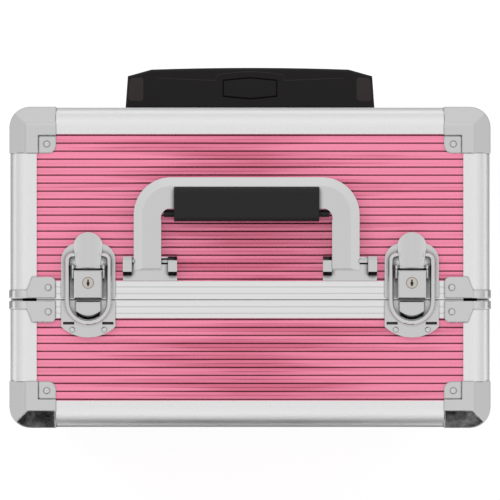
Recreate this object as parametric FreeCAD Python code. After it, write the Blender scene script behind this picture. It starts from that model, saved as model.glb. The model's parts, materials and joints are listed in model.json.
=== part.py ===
import FreeCAD, Part
import math
import os

# Rolling grooming case. Millimetres, +Z up, +X along the long side, +Y towards the
# trolley. The origin is the middle of the whole footprint, at floor level.

# Overall sizes of the case
CASE_WIDTH = 360.0
CASE_DEPTH = 240.0
BASE_HEIGHT = 270.0
LID_HEIGHT = 75.0
REAR_LID_DEPTH = 144.0
GROUND_CLEARANCE = 22.0
LID_GAP = 0.4
RIM_GAP = 0.3

# Wall layers, from the outside in
RAIL_SHEET = 1.5
RAIL_INNER_BEVEL = 9.5
PANEL_SHEET = 1.5
BOARD = 5.0
BOARD_CHAMFER = 8.5
LINING = 1.5

# Aluminium edge rails
EDGE_RADIUS = 15.0
RAIL_WIDTH = 20.0
RIM_RAIL_HEIGHT = 10.0
PARTING_RAIL_WIDTH = 13.7
PARTING_RAIL_DROP = 12.0
RAIL_WEB = 2.0
RAIL_SETBACK = 1.1
RAIL_LAP = 3.0

# Ribbed panel sheet
RIB_PITCH = 6.0
FIRST_GROOVE = 20.9
GROOVE_WIDTH = 1.5
GROOVE_DEPTH = 0.55

# Corner caps and parting plates
CAP_REACH = 34.5
CAP_PROUD = 0.6
CAP_BEVEL = 13.5
CAP_BEVEL_DROP = 8.0
CAP_TAB_RADIUS = 6.0
CAP_STEP = 21.0
PLATE_SHEET = 1.0
PLATE_LENGTH = 21.6
PLATE_DEPTH = 16.0
PLATE_STRIP_DEPTH = 6.0
PLATE_STRIP_DROP = 26.0
PLATE_INSET = 12.6
PLATE_SETBACK = 0.9

# Piano hinges in the rims
HINGE_INSET = 3.2
HINGE_BARREL_RADIUS = 2.4
HINGE_PIN_RADIUS = 1.2
HINGE_PIN_PLAY = 0.05
HINGE_GROOVE_PLAY = 0.35
HINGE_LEAF = 1.0
HINGE_LEAF_WIDTH = 6.2
HINGE_LENGTH = 320.0
HINGE_KNUCKLES = 5
HINGE_BARREL_SIDES = 12
HINGE_KNUCKLE_GAP = 0.3
HINGE_CHAMFER = 5.5

# Trays and their parallel arms
TRAY_HEIGHT = 22.0
TRAY_PITCH = 25.0
TRAY_LIFT = 2.0
TRAY_WALL = 2.0
TRAY_FLOOR = 2.0
TRAY_CORNER = 3.5
TRAY_OUTER_INSET = 20.5
TRAY_INNER_INSET = 3.0
TRAY_END_GAP = 8.5
TRAY_CELLS = 3
ARM_SHEET = 2.0
ARM_WIDTH = 8.0
ARM_TRAY_GAP = 2.5
ARM_ANGLE = 50.0
ARM_STUD_RADIUS = 2.0
ARM_STUD_END = 1.2
ARM_FOOT_DEPTH = 4.0
ARM_STUD_PLAY = 0.05
OPEN_PIVOT_PLAY = 0.3
LINING_WINDOW_PLAY = 0.8
ARM_PIVOT_DROP = 16.0
TRAY_PIVOT_HEIGHT = 6.0
REAR_ARM_INSETS = (35.0, 85.0)
FRONT_ARM_INSETS = (26.0, 42.0)

# Carry handle, folded back over the rear lid
HANDLE_SHIFT = -2.5
HANDLE_LEG_WIDTH = 20.6
HANDLE_REACH = 63.0
HANDLE_HEEL = 7.0
HANDLE_PIVOT_SETBACK = 28.5
HANDLE_PIVOT_LIFT = 8.5
HANDLE_THICKNESS = 9.0
HANDLE_CORNER = 28.0
HANDLE_BEVEL = 2.2
HANDLE_TOP_STRIP = 7.2
HANDLE_SHELF = 16.4
HANDLE_INNER_CORNER = 9.0
HANDLE_INNER_BEND = 1.2
HANDLE_INNER_DROP = 2.6
HANDLE_PIN_RADIUS = 2.5
HANDLE_PIN_PLAY = 0.05
GRIP_END_INSET = 30.35
GRIP_DEPTH = 25.9
GRIP_THICKNESS = 16.0
GRIP_ROUND = 5.0
GRIP_FERRULE_LENGTH = 4.8
GRIP_FERRULE_RADIUS = 2.8
GRIP_FERRULE_SEAT = 3.0
GRIP_FERRULE_RISE = 6.0
BRACKET_INSET = 9.65
BRACKET_LATCH_GAP = 5.75
BRACKET_RAIL_GAP = 0.2
BRACKET_LENGTH = 40.6
BRACKET_EAR = 6.7
BRACKET_SHEET = 1.5
BRACKET_DEPTH = 18.0
BRACKET_HEIGHT = 14.0
BRACKET_EAR_DEPTH = 14.4
BRACKET_EAR_SETBACK = 3.5
BRACKET_EAR_BEVEL = 3.0

# Draw latches with key locks
LATCH_SIDE_GAP = 4.2
LATCH_AXIS_SETBACK = 24.0
LATCH_PLATE_WIDTH = 40.6
LATCH_PLATE_SHEET = 1.2
LATCH_PLATE_BACK = 17.7
LATCH_PLATE_SHOULDER = 4.5
LATCH_PLATE_TOP_WIDTH = 22.0
LATCH_PLATE_BULGE = 1.6
LATCH_PLATE_RISE = 2.6
LATCH_PLATE_FRONT = -22.6
LOCK_WIDTH = 21.2
LOCK_BACK = -2.3
LOCK_FRONT = -23.6
LOCK_RISE = 9.4
LOCK_BEVEL = 1.0
LOCK_EAR_GAP = 0.25
LOCK_EAR_SHEET = 1.4
LOCK_EAR_REACH = 6.0
LOCK_PLUG_RADIUS = 3.9
LOCK_PLUG_PLAY = 0.05
LOCK_PLUG_Y = -11.6
LOCK_PLUG_DEPTH = 6.0
KEYWAY_WIDTH = 1.1
KEYWAY_LENGTH = 5.0
LEVER_AXIS_LIFT = 6.2
LEVER_BARREL_RADIUS = 1.7
LEVER_PIN_RADIUS = 0.9
LEVER_PIN_PLAY = 0.05
LEVER_WIDTH = 22.0
LEVER_NECK_WIDTH = 18.0
LEVER_WIDEST_Y = 16.8
LEVER_TIP_Y = 26.3
LEVER_SHEET = 1.6
LEVER_BOSS_WALL = 1.0
LEVER_CROWN = 1.6
BAIL_WIRE = 3.8
BAIL_SIDES = 6
BAIL_WIDTH = 35.2
BAIL_AXIS_Y = 9.4
BAIL_AXIS_DROP = 1.4
BAIL_TOE_Y = -43.4
BAIL_CORNER = 4.0
BAIL_BORE_PLAY = 0.05
BAIL_TOE_LIFT = 0.3
CATCH_BACK = -24.9
CATCH_FRONT = -52.6
CATCH_ARC_START = -44.6
CATCH_TONGUE_WIDTH = 18.3
CATCH_TONGUE_LENGTH = 13.4
CATCH_TONGUE_RISE = 2.6
CATCH_TONGUE_RAMP = 26.0
CATCH_TONGUE_SETBACK = 0.5
CATCH_SLOT_Y = -40.9
CATCH_SLOT_WIDTH = 8.4
CATCH_SLOT_DEPTH = 2.0

# Telescopic trolley on the back
TROLLEY_STAGES = 3
TUBE_PITCH = 124.0
TUBE_WIDTH = 26.0
TUBE_DEPTH = 19.0
TUBE_WALL = 1.2
TUBE_GAP = 0.3
TUBE_BEVEL = 1.8
TUBE_STANDOFF = 1.0
TUBE_LOW = 38.0
TUBE_STEP = 2.0
TROLLEY_GRIP_WIDTH = 188.8
TROLLEY_GRIP_TAPER = 1.7
TROLLEY_GRIP_REACH = 31.2
TROLLEY_GRIP_SIDE_REACH = 24.9
TROLLEY_GRIP_SHOULDER_X = 74.7
TROLLEY_GRIP_SHOULDER_REACH = 29.9
TROLLEY_GRIP_BACK_GAP = 1.0
TROLLEY_GRIP_BAR = 24.0
TROLLEY_GRIP_DROP = 16.0
TROLLEY_GRIP_LEG = 24.0
TROLLEY_GRIP_LEG_WIDTH = 34.0
TROLLEY_GRIP_LEG_REACH = 22.0
TROLLEY_GRIP_LEG_CHAMFER = 2.5
TROLLEY_GRIP_BEVEL = 1.6
TROLLEY_BRACKET_HEIGHT = 22.0
TROLLEY_BRACKET_FLOOR = 2.0
TROLLEY_BRACKET_GAP = 5.5
TROLLEY_BRACKET_INSET = 2.0
TROLLEY_BRACKET_COVER = 3.0
TROLLEY_BRACKET_BEVEL = 4.0
TROLLEY_BRACKET_SIDE = 6.0
TROLLEY_BRACKET_WAIST = 8.0
BUTTON_LENGTH = 41.2
BUTTON_DEPTH = 16.6
BUTTON_SIDE = 12.7
BUTTON_BEVEL = 0.6
BUTTON_HEIGHT = 6.0
BUTTON_GAP = 0.4
BUTTON_PROUD = 0.4
BUTTON_FLOOR_GAP = 0.5
BUTTON_TRAVEL = 3.0
BUTTON_Y = 15.6

# Wheels, housings and feet
WHEEL_RADIUS = 25.0
WHEEL_WIDTH = 16.0
TYRE_THICKNESS = 6.0
TYRE_CHAMFER = 2.0
HUB_RIM = 2.5
HUB_WEB = 6.0
HUB_BOSS = 3.5
HUB_WINDOWS = 5
HUB_BOWL_SIDES = 16
HUB_WINDOW_SHARE = 0.55
HUB_SPOKE_EDGE = 2.0
AXLE_RADIUS = 3.0
AXLE_PLAY = 0.05
WHEEL_SIDE_GAP = 1.5
WHEEL_RIM_GAP = 3.0
HOUSING_WIDTH = 40.0
HOUSING_DEPTH = 58.0
HOUSING_RISE = 38.0
HOUSING_CHEEK_DROP = 8.0
HOUSING_CHEEK_INSET = 4.0
HOUSING_BEVEL = 8.8
HOUSING_ROOM_SIDES = 16
WHEEL_AXLE_INSET = 26.0
FOOT_RADIUS = 14.0
FOOT_TIP_RADIUS = 11.0
FOOT_SIDES = 16
FOOT_SIDE_INSET = 52.0
FOOT_FRONT_INSET = 36.0

# Sides of the small pivots and their bores
PIVOT_SIDES = 8

# Working values
TINY = 0.001
PAST = 2.0
WALL = RAIL_SHEET + PANEL_SHEET + BOARD + LINING
BOARD_OUT = RAIL_SHEET + PANEL_SHEET
BOARD_IN = BOARD_OUT + BOARD
HALF_WIDTH = CASE_WIDTH / 2
HALF_DEPTH = CASE_DEPTH / 2
FRONT_LID_DEPTH = CASE_DEPTH - REAR_LID_DEPTH - LID_GAP
PARTING_Y = HALF_DEPTH - REAR_LID_DEPTH
RIM_Z = GROUND_CLEARANCE + BASE_HEIGHT
TOP_Z = RIM_Z + LID_HEIGHT
ROW_SHIFT_Y = -(TROLLEY_GRIP_REACH - CAP_PROUD) / 2
LATCH_X = HALF_WIDTH - PLATE_INSET - PLATE_LENGTH - LATCH_SIDE_GAP - LATCH_PLATE_WIDTH / 2
BRACKET_X = LATCH_X - LATCH_PLATE_WIDTH / 2 - BRACKET_LATCH_GAP - BRACKET_LENGTH / 2
LATCH_Y = PARTING_Y + LATCH_AXIS_SETBACK
HANDLE_SPAN = 2 * (BRACKET_X + BRACKET_INSET)
HANDLE_PIVOT_Y = PARTING_Y + HANDLE_PIVOT_SETBACK
GRIP_LENGTH = HANDLE_SPAN - 2 * GRIP_END_INSET

Vector = FreeCAD.Vector
X_AXIS = Vector(1, 0, 0)
Y_AXIS = Vector(0, 1, 0)
Z_AXIS = Vector(0, 0, 1)
ORIGIN = Vector(0, 0, 0)


# Small helpers

def box(x0, x1, y0, y1, z0, z1):
    return Part.makeBox(x1 - x0, y1 - y0, z1 - z0, Vector(x0, y0, z0))


def rod(radius, start, end):
    along = end - start
    return Part.makeCylinder(radius, along.Length, start, along)


def rod_x(radius, x0, x1, y, z):
    return rod(radius, Vector(x0, y, z), Vector(x1, y, z))


def rod_z(radius, x, y, z0, z1):
    return rod(radius, Vector(x, y, z0), Vector(x, y, z1))


def polygon(radius, sides):
    """Corners of a regular outline, as pairs, with a flat side on each axis."""
    step = 2 * math.pi / sides
    return [(radius * math.cos((n + 0.5) * step), radius * math.sin((n + 0.5) * step)) for n in range(sides)]


def pivot_x(radius, x0, x1, y, z, sides=PIVOT_SIDES):
    """A faceted rod along X, with its corners on the radius."""
    points = [Vector(x0, y + a, z + b) for a, b in polygon(radius, sides)]
    return prism(points, Vector(x1 - x0, 0, 0))


def bore_x(radius, x0, x1, y, z, sides=PIVOT_SIDES):
    """The faceted room round such a rod, with its flats on the radius."""
    return pivot_x(radius / math.cos(math.pi / sides), x0, x1, y, z, sides)


def prism(points, along):
    """A closed outline of straight sides, pushed along a vector."""
    return Part.Face(Part.makePolygon(points + points[:1])).extrude(along)


def outline(start, *steps):
    """A closed wire: each step is a point for a line, or (middle, end) for an arc."""
    edges = []
    here = start
    for step in steps:
        if isinstance(step, tuple):
            edges.append(Part.Arc(here, step[0], step[1]).toShape())
            here = step[1]
        else:
            edges.append(Part.LineSegment(here, step).toShape())
            here = step
    if (here - start).Length > TINY:
        edges.append(Part.LineSegment(here, start).toShape())
    return Part.Wire(edges)


def slab(wire, thickness):
    return Part.Face(wire).extrude(Vector(0, 0, thickness))


def round_edges(solid, radius, wanted):
    edges = [edge for edge in solid.Edges if wanted(edge.BoundBox)]
    return solid.makeFillet(radius, edges)


def bevel_edges(solid, size, wanted):
    edges = [edge for edge in solid.Edges if wanted(edge.BoundBox)]
    return solid.makeChamfer(size, edges)


def upright(bounds):
    return bounds.ZLength > TINY and bounds.XLength < TINY and bounds.YLength < TINY


def moved(shape, x=0.0, y=0.0, z=0.0):
    copy = shape.copy()
    copy.translate(Vector(x, y, z))
    return copy


def turned(shape, degrees, centre=ORIGIN, axis=Z_AXIS):
    copy = shape.copy()
    copy.rotate(centre, axis, degrees)
    return copy


def mirrored(shape, normal=X_AXIS):
    return shape.mirror(ORIGIN, normal)


def pair(shape):
    """The shape and its mirror image on the other end of the case."""
    return [shape, mirrored(shape)]


def cut(shape, *tools):
    for tool in tools:
        shape = shape.cut(tool)
    return shape


# Ribbed sheet, shared by every panel

def ribbed_sheet(half_span, low, high, first):
    """Ribs run along X and are stacked along Y; the outer face is z = 0."""
    top = []
    count = int((first - low) / RIB_PITCH) + 1
    for n in range(count + 1):
        centre = first - n * RIB_PITCH
        if low + GROOVE_WIDTH / 2 < centre < high - GROOVE_WIDTH / 2:
            top.append((centre + GROOVE_WIDTH / 2, 0.0))
            top.append((centre, -GROOVE_DEPTH))
            top.append((centre - GROOVE_WIDTH / 2, 0.0))
    profile = [(high, -PANEL_SHEET), (high, 0.0)] + top + [(low, 0.0), (low, -PANEL_SHEET)]
    points = [Vector(-half_span, y, z) for y, z in profile]
    return prism(points, Vector(2 * half_span, 0, 0))


def wall_sheet(half_span, low, high, first, turn):
    """The same sheet stood up: its ribs stack up Z and its face looks along -Y turned by turn."""
    sheet = turned(ribbed_sheet(half_span, low, high, first), 90, ORIGIN, X_AXIS)
    return turned(sheet, turn)


# Corner caps, shared by the lids and the base

def cap_block():
    """Outer form of a cap at a corner that points to +X, +Y and +Z from the origin.

    Its three tabs step down past the rails, on to the panels.
    """
    block = box(-CAP_REACH, CAP_PROUD, -CAP_REACH, CAP_PROUD, -CAP_REACH, CAP_PROUD)
    block = round_edges(block, EDGE_RADIUS + CAP_PROUD,
                        lambda b: upright(b) and b.XMin > 0 and b.YMin > 0)
    block = round_edges(block, CAP_TAB_RADIUS,
                        lambda b: upright(b) and b.XMax < -CAP_REACH + TINY and b.YMax < -CAP_REACH + TINY)
    for turn in (0, 1):
        edge = [(CAP_PROUD - CAP_BEVEL, CAP_PROUD), (CAP_PROUD, CAP_PROUD - CAP_BEVEL_DROP),
                (CAP_PROUD + PAST, CAP_PROUD - CAP_BEVEL_DROP), (CAP_PROUD + PAST, CAP_PROUD + PAST),
                (CAP_PROUD - CAP_BEVEL, CAP_PROUD + PAST)]
        if turn:
            wedge = prism([Vector(-CAP_REACH - PAST, a, b) for a, b in edge],
                          Vector(CAP_REACH + 3 * PAST, 0, 0))
        else:
            wedge = prism([Vector(a, -CAP_REACH - PAST, b) for a, b in edge],
                          Vector(0, CAP_REACH + 3 * PAST, 0))
        block = block.cut(wedge)
    for axis in range(3):
        low = [-CAP_REACH - PAST] * 3
        high = [-CAP_STEP] * 3
        low[axis] = CAP_PROUD - RAIL_SHEET
        high[axis] = CAP_PROUD + PAST
        block = block.cut(box(low[0], high[0], low[1], high[1], low[2], high[2]))
    return block


def cap_zone():
    """The full corner region of a cap, which the edge rails leave free."""
    return box(-CAP_REACH, PAST, -CAP_REACH, PAST, -CAP_REACH, PAST)


# Lids. Both are drawn in one lid frame: the hinge-side wall is the plane y = 0, the
# parting face is y = -depth, the rim of the base is z = 0

def lid_box(reach, inset, low):
    """Lid envelope drawn in by inset, with square edges."""
    half = HALF_WIDTH - inset
    return box(-half, half, -reach, -inset, low, LID_HEIGHT - inset)


def lid_outer_edge(inset):
    """Tells the edges where two of the end, hinge-side and top faces meet."""
    half = HALF_WIDTH - inset

    def outer(b):
        at_end = b.XMin > half - TINY or b.XMax < -half + TINY
        return at_end + (b.YMin > -inset - TINY) + (b.ZMin > LID_HEIGHT - inset - TINY) == 2

    return outer


def lid_block(reach, inset, low):
    """Lid envelope rounded along its outer edges, for rails and caps."""
    return round_edges(lid_box(reach, inset, low), EDGE_RADIUS - inset, lid_outer_edge(inset))


def lid_inner_block(reach):
    """What the sheet of rails and caps goes round, bevelled where it can't be seen."""
    return bevel_edges(lid_box(reach, RAIL_SHEET, 0), RAIL_INNER_BEVEL, lid_outer_edge(RAIL_SHEET))


def lid_board_block(reach, low):
    """Outer form of the board, bevelled to fit inside the rounded rails."""
    return bevel_edges(lid_box(reach, BOARD_OUT, low), BOARD_CHAMFER, lid_outer_edge(BOARD_OUT))


def hinge_relief(play=HINGE_GROOVE_PLAY):
    """Space round the hinge barrel that both rims leave free, with the chamfers."""
    reach = HALF_WIDTH + PAST
    room = HINGE_BARREL_RADIUS + play
    groove = box(-reach, reach, -HINGE_INSET - room, -HINGE_INSET + room, -room, room)
    corners = ((PAST, HINGE_CHAMFER + PAST), (PAST, -HINGE_CHAMFER - PAST), (-HINGE_CHAMFER, 0))
    chamfer = prism([Vector(-reach, y, z) for y, z in corners], Vector(2 * reach, 0, 0))
    return groove.fuse(chamfer)


def leaf_recess():
    half = HINGE_LENGTH / 2 + HINGE_KNUCKLE_GAP
    deep = HINGE_LEAF + RIM_GAP
    return box(-half, half, -HINGE_INSET - HINGE_LEAF_WIDTH, 0, -deep, deep)


def at_lid_corners(shape):
    return pair(moved(shape, HALF_WIDTH, 0, LID_HEIGHT))


def lid_board(depth):
    outer = lid_board_block(depth - RAIL_WEB, RIM_GAP + RAIL_WEB)
    hollow = lid_box(depth + PAST, BOARD_IN, -PAST)
    return [cut(outer, hollow, hinge_relief(), leaf_recess())]


def lid_lining(depth):
    outer = lid_box(depth - RAIL_WEB, BOARD_IN, RIM_RAIL_HEIGHT)
    return [outer.cut(lid_box(depth + PAST, WALL, -PAST))]


def lid_top_panel(depth):
    low = -depth + PARTING_RAIL_WIDTH - RAIL_LAP
    sheet = ribbed_sheet(HALF_WIDTH - RAIL_WIDTH + RAIL_LAP, low, -RAIL_WIDTH + RAIL_LAP, -FIRST_GROOVE)
    return [moved(sheet, z=LID_HEIGHT - RAIL_SHEET)]


def lid_wall_panels(depth):
    high = LID_HEIGHT - RAIL_WIDTH + RAIL_LAP
    first = LID_HEIGHT - FIRST_GROOVE
    hinge_wall = wall_sheet(HALF_WIDTH - RAIL_WIDTH + RAIL_LAP, RIM_RAIL_HEIGHT, high, first, 180)
    inner = -depth + PARTING_RAIL_DROP - RAIL_LAP
    outer = -RAIL_WIDTH + RAIL_LAP
    end_wall = wall_sheet((outer - inner) / 2, RIM_RAIL_HEIGHT, high, first, 90)
    end_wall = moved(end_wall, HALF_WIDTH - RAIL_SHEET, (inner + outer) / 2)
    return [moved(hinge_wall, y=-RAIL_SHEET)] + pair(end_wall)


def lid_edge_rails(depth):
    shell = lid_block(depth - RAIL_SETBACK, 0, RIM_RAIL_HEIGHT)
    shell = shell.cut(lid_inner_block(depth + PAST))
    side = HALF_WIDTH - RAIL_WIDTH
    high = LID_HEIGHT - RAIL_WIDTH
    top_window = box(-side, side, -depth - PAST, -RAIL_WIDTH, high, LID_HEIGHT + PAST)
    hinge_window = box(-side, side, -RAIL_WIDTH / 2, PAST, 0, high)
    end_window = box(side, HALF_WIDTH + PAST, -depth - PAST, -RAIL_WIDTH, 0, high)
    shell = cut(shell, top_window, hinge_window, *pair(end_window))
    return cut(shell, *at_lid_corners(cap_zone())).Solids


def lid_rim_rail(depth):
    """Channel round the lid's rim, in three lengths that are mitred at the hinge corners."""
    reach = HALF_WIDTH + PAST
    zone = box(-reach, reach, -depth - PAST, PAST, RIM_GAP, RIM_RAIL_HEIGHT)
    ring = lid_block(depth, 0, RIM_GAP).common(zone)
    board = lid_board_block(depth - RAIL_WEB, RIM_GAP + RAIL_WEB)
    board = board.cut(lid_box(depth + PAST, BOARD_IN, -PAST))
    ring = cut(ring, lid_box(depth + PAST, WALL, -PAST), board, hinge_relief(), leaf_recess())
    near = HALF_WIDTH - WALL - PAST
    corners = ((reach, PAST), (near, -WALL - PAST), (near, -depth - PAST), (reach, -depth - PAST))
    ends = pair(prism([Vector(x, y, 0) for x, y in corners], Vector(0, 0, RIM_RAIL_HEIGHT + PAST)))
    return [cut(ring, *ends)] + [ring.common(end) for end in ends]


def lid_parting_rails(depth):
    side = HALF_WIDTH - RAIL_WIDTH
    board = lid_board_block(depth - RAIL_WEB, 0)
    lip = LID_HEIGHT - RAIL_SHEET
    bar = box(-side, side, -depth, -depth + PARTING_RAIL_WIDTH, LID_HEIGHT - PARTING_RAIL_DROP, LID_HEIGHT)
    under_panel = box(-side, side, -depth + PARTING_RAIL_WIDTH - RAIL_LAP, 0, 0, lip)
    inside = box(-side, side, -depth + RAIL_WEB, 0, LID_HEIGHT - WALL, LID_HEIGHT - BOARD_OUT)
    bar = cut(bar, under_panel, inside)
    post = box(HALF_WIDTH - WALL, HALF_WIDTH, -depth, -depth + PARTING_RAIL_DROP,
               RIM_RAIL_HEIGHT, LID_HEIGHT - RAIL_WIDTH)
    behind_panel = box(0, HALF_WIDTH - RAIL_SHEET, -depth + PARTING_RAIL_DROP - RAIL_LAP, 0, 0, lip)
    post = cut(post, behind_panel, board)
    return [bar] + pair(post)


def lid_caps(depth):
    inside = lid_inner_block(depth)
    return [block.cut(inside) for block in at_lid_corners(cap_block())]


def parting_plate(depth):
    """Plate at the parting corner, with a strip that wraps down over the end rail."""
    near = HALF_WIDTH - PLATE_INSET
    far = near - PLATE_LENGTH
    back = -depth + PLATE_SETBACK
    inner = back + PLATE_DEPTH
    rounded = 4.0
    bend = rounded * (1 - math.sqrt(0.5))
    wire = outline(Vector(far, back, 0), Vector(near, back, 0), Vector(near, back + PLATE_STRIP_DEPTH, 0),
                   Vector(near - PLATE_SHEET * 4, inner, 0), Vector(far + rounded, inner, 0),
                   (Vector(far + bend, inner - bend, 0), Vector(far, inner - rounded, 0)))
    plate = moved(slab(wire, PLATE_SHEET), z=LID_HEIGHT)
    wrap = lid_block(depth, -PLATE_SHEET, 0).cut(lid_block(depth + PAST, 0, -PAST))
    zone = box(near - TINY, HALF_WIDTH + PAST, back, back + PLATE_STRIP_DEPTH,
               LID_HEIGHT - PLATE_STRIP_DROP, LID_HEIGHT + PAST)
    return plate.fuse(wrap.common(zone))


def lid_fittings(depth):
    """Corner caps on the hinge side and plates at the parting corners."""
    return lid_caps(depth) + pair(parting_plate(depth))


# Hinges, also drawn in the lid frame

def knuckle_spans(first):
    """Stretches of the barrel that one leaf owns: every other one, from first."""
    pitch = HINGE_LENGTH / HINGE_KNUCKLES
    start = -HINGE_LENGTH / 2
    return [(start + n * pitch + HINGE_KNUCKLE_GAP / 2, start + (n + 1) * pitch - HINGE_KNUCKLE_GAP / 2)
            for n in range(first, HINGE_KNUCKLES, 2)]


def hinge_leaf(own, other, side):
    """One leaf: side is +1 for the lid's, above the rim plane, and -1 for the base's.

    The pin is fast in the base's knuckles, and the lid's turn on it.
    """
    half = HINGE_LENGTH / 2
    near = RIM_GAP * side * 0.5
    far = near + HINGE_LEAF * side
    leaf = box(-half, half, -HINGE_INSET - HINGE_LEAF_WIDTH, -HINGE_INSET, min(near, far), max(near, far))
    for x0, x1 in knuckle_spans(own):
        leaf = leaf.fuse(pivot_x(HINGE_BARREL_RADIUS, x0, x1, -HINGE_INSET, 0, HINGE_BARREL_SIDES))
    room = HINGE_BARREL_RADIUS + HINGE_GROOVE_PLAY
    for x0, x1 in knuckle_spans(other):
        leaf = leaf.cut(box(x0 - HINGE_KNUCKLE_GAP, x1 + HINGE_KNUCKLE_GAP, -HINGE_INSET - room,
                            -HINGE_INSET + room, -room, room))
    if side < 0:
        return leaf.fuse(pivot_x(HINGE_PIN_RADIUS, -half, half, -HINGE_INSET, 0)).removeSplitter()
    return leaf.cut(bore_x(HINGE_PIN_RADIUS + HINGE_PIN_PLAY, -half - PAST, half + PAST, -HINGE_INSET, 0))


# Trays and arms, in the lid frame too: y falls towards the inside of the case

def arm_reach(tier):
    """Distance from an arm's foot to its stud in a tray: tier 0 is the lower tray."""
    rise = ARM_PIVOT_DROP + TRAY_LIFT + TRAY_PIVOT_HEIGHT + tier * TRAY_PITCH
    return rise / math.sin(math.radians(ARM_ANGLE))


def arm_stud(inset, tier):
    """Place of a stud in the lid frame, as y and z; tier -1 is the foot in the base."""
    reach = arm_reach(tier) if tier >= 0 else 0.0
    angle = math.radians(ARM_ANGLE)
    return -inset - reach * math.cos(angle), -ARM_PIVOT_DROP + reach * math.sin(angle)


def arm_face():
    """The inner face of the arm's bar, seen from the middle of the case."""
    return HALF_WIDTH - WALL - TRAY_END_GAP + ARM_TRAY_GAP


def tray_half():
    return HALF_WIDTH - WALL - TRAY_END_GAP


def arms(inset):
    """A flat bar with its riveted studs, one at each end of the trays."""
    face = arm_face()
    tip_y, tip_z = arm_stud(inset, 1)
    foot_y, foot_z = arm_stud(inset, -1)
    length = math.hypot(tip_y - foot_y, tip_z - foot_z)
    half = ARM_WIDTH / 2
    angle = math.degrees(math.atan2(tip_z - foot_z, tip_y - foot_y))
    bar = flat_bar(length, half, angle)
    bar = moved(bar, face, foot_y, foot_z)
    wall_face = HALF_WIDTH - WALL
    bar = bar.fuse(pivot_x(ARM_STUD_RADIUS, face + TINY, wall_face + LINING + ARM_FOOT_DEPTH, foot_y, foot_z))
    for tier in (0, 1):
        y, z = arm_stud(inset, tier)
        inner = tray_half() - TRAY_WALL - OPEN_PIVOT_PLAY
        bar = bar.fuse(pivot_x(ARM_STUD_RADIUS, inner - ARM_STUD_END, face + TINY, y, z))
    return pair(bar)


def flat_bar(length, half, angle):
    """A bar with bevelled ends in the plane x = 0, from the origin, at an angle above +Y."""
    near = half * math.tan(math.pi / 8)
    plan = [(-half, -near), (-near, -half), (length + near, -half), (length + half, -near),
            (length + half, near), (length + near, half), (-near, half), (-half, near)]
    bar = prism([Vector(0, y, z) for y, z in plan], Vector(ARM_SHEET, 0, 0))
    return turned(bar, angle, ORIGIN, X_AXIS)


def tray(depth, insets, tier):
    """An open tray with cells, holed at both ends for the studs of its two arms."""
    half = tray_half()
    low = TRAY_LIFT + tier * TRAY_PITCH
    inner_y = -depth + TRAY_INNER_INSET
    outer_y = -TRAY_OUTER_INSET
    body = bevel_edges(box(-half, half, inner_y, outer_y, low, low + TRAY_HEIGHT), TRAY_CORNER, upright)
    cell = (2 * half - TRAY_WALL) / TRAY_CELLS
    for n in range(TRAY_CELLS):
        x0 = -half + TRAY_WALL + n * cell
        hollow = box(x0, x0 + cell - TRAY_WALL, inner_y + TRAY_WALL, outer_y - TRAY_WALL,
                     low + TRAY_FLOOR, low + TRAY_HEIGHT + PAST)
        body = body.cut(hollow)
    for inset, play in zip(insets, (OPEN_PIVOT_PLAY, ARM_STUD_PLAY)):
        y, z = arm_stud(inset, tier)
        hole = bore_x(ARM_STUD_RADIUS + play, half - TRAY_WALL - TINY, half + PAST, y, z)
        body = cut(body, *pair(hole))
    return [body]


def arm_foot_holes(insets):
    """Holes in the base's boards for the feet of the arms, in the lid frame."""
    holes = []
    for inset in insets:
        y, z = arm_stud(inset, -1)
        hole = bore_x(ARM_STUD_RADIUS + ARM_STUD_PLAY, HALF_WIDTH - WALL - PAST,
                      HALF_WIDTH - BOARD_IN + ARM_FOOT_DEPTH + ARM_STUD_PLAY, y, z)
        holes += pair(hole)
    return holes


def arm_foot_windows(insets):
    """Square windows in the lining, clear of the feet."""
    half = ARM_STUD_RADIUS + LINING_WINDOW_PLAY
    windows = []
    for inset in insets:
        y, z = arm_stud(inset, -1)
        windows += pair(box(HALF_WIDTH - WALL - PAST, HALF_WIDTH - BOARD_IN + PAST, y - half, y + half,
                            z - half, z + half))
    return windows


# Base of the case, in the case frame: y = 0 is mid-depth, z = 0 the floor

def base_box(inset, top):
    """Base envelope drawn in by inset, with square edges."""
    half_x = HALF_WIDTH - inset
    half_y = HALF_DEPTH - inset
    return box(-half_x, half_x, -half_y, half_y, GROUND_CLEARANCE + inset, top)


def base_outer_edge(inset):
    """Tells the edges where two of the end, side and bottom faces meet."""
    half_x = HALF_WIDTH - inset
    half_y = HALF_DEPTH - inset

    def outer(b):
        at_end = b.XMin > half_x - TINY or b.XMax < -half_x + TINY
        at_side = b.YMin > half_y - TINY or b.YMax < -half_y + TINY
        return at_end + at_side + (b.ZMax < GROUND_CLEARANCE + inset + TINY) == 2

    return outer


def base_block(inset, top):
    """Base envelope rounded along its outer edges, for rails and caps."""
    return round_edges(base_box(inset, top), EDGE_RADIUS - inset, base_outer_edge(inset))


def base_inner_block():
    """What the sheet of rails and caps goes round, bevelled where it can't be seen."""
    return bevel_edges(base_box(RAIL_SHEET, RIM_Z), RAIL_INNER_BEVEL, base_outer_edge(RAIL_SHEET))


def base_board_block(top):
    """Outer form of the board, bevelled to fit inside the rounded rails."""
    return bevel_edges(base_box(BOARD_OUT, top), BOARD_CHAMFER, base_outer_edge(BOARD_OUT))


def wheel_notch():
    """Corner that the wheel housings take out of the base, both sides."""
    block = box(HALF_WIDTH - HOUSING_WIDTH, HALF_WIDTH + PAST, HALF_DEPTH - HOUSING_DEPTH, HALF_DEPTH + PAST,
                -PAST, GROUND_CLEARANCE + HOUSING_RISE)
    return pair(block)


def at_base_corners(shape):
    shape = mirrored(mirrored(shape, Z_AXIS), Y_AXIS)
    return pair(moved(shape, HALF_WIDTH, -HALF_DEPTH, GROUND_CLEARANCE))


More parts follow.
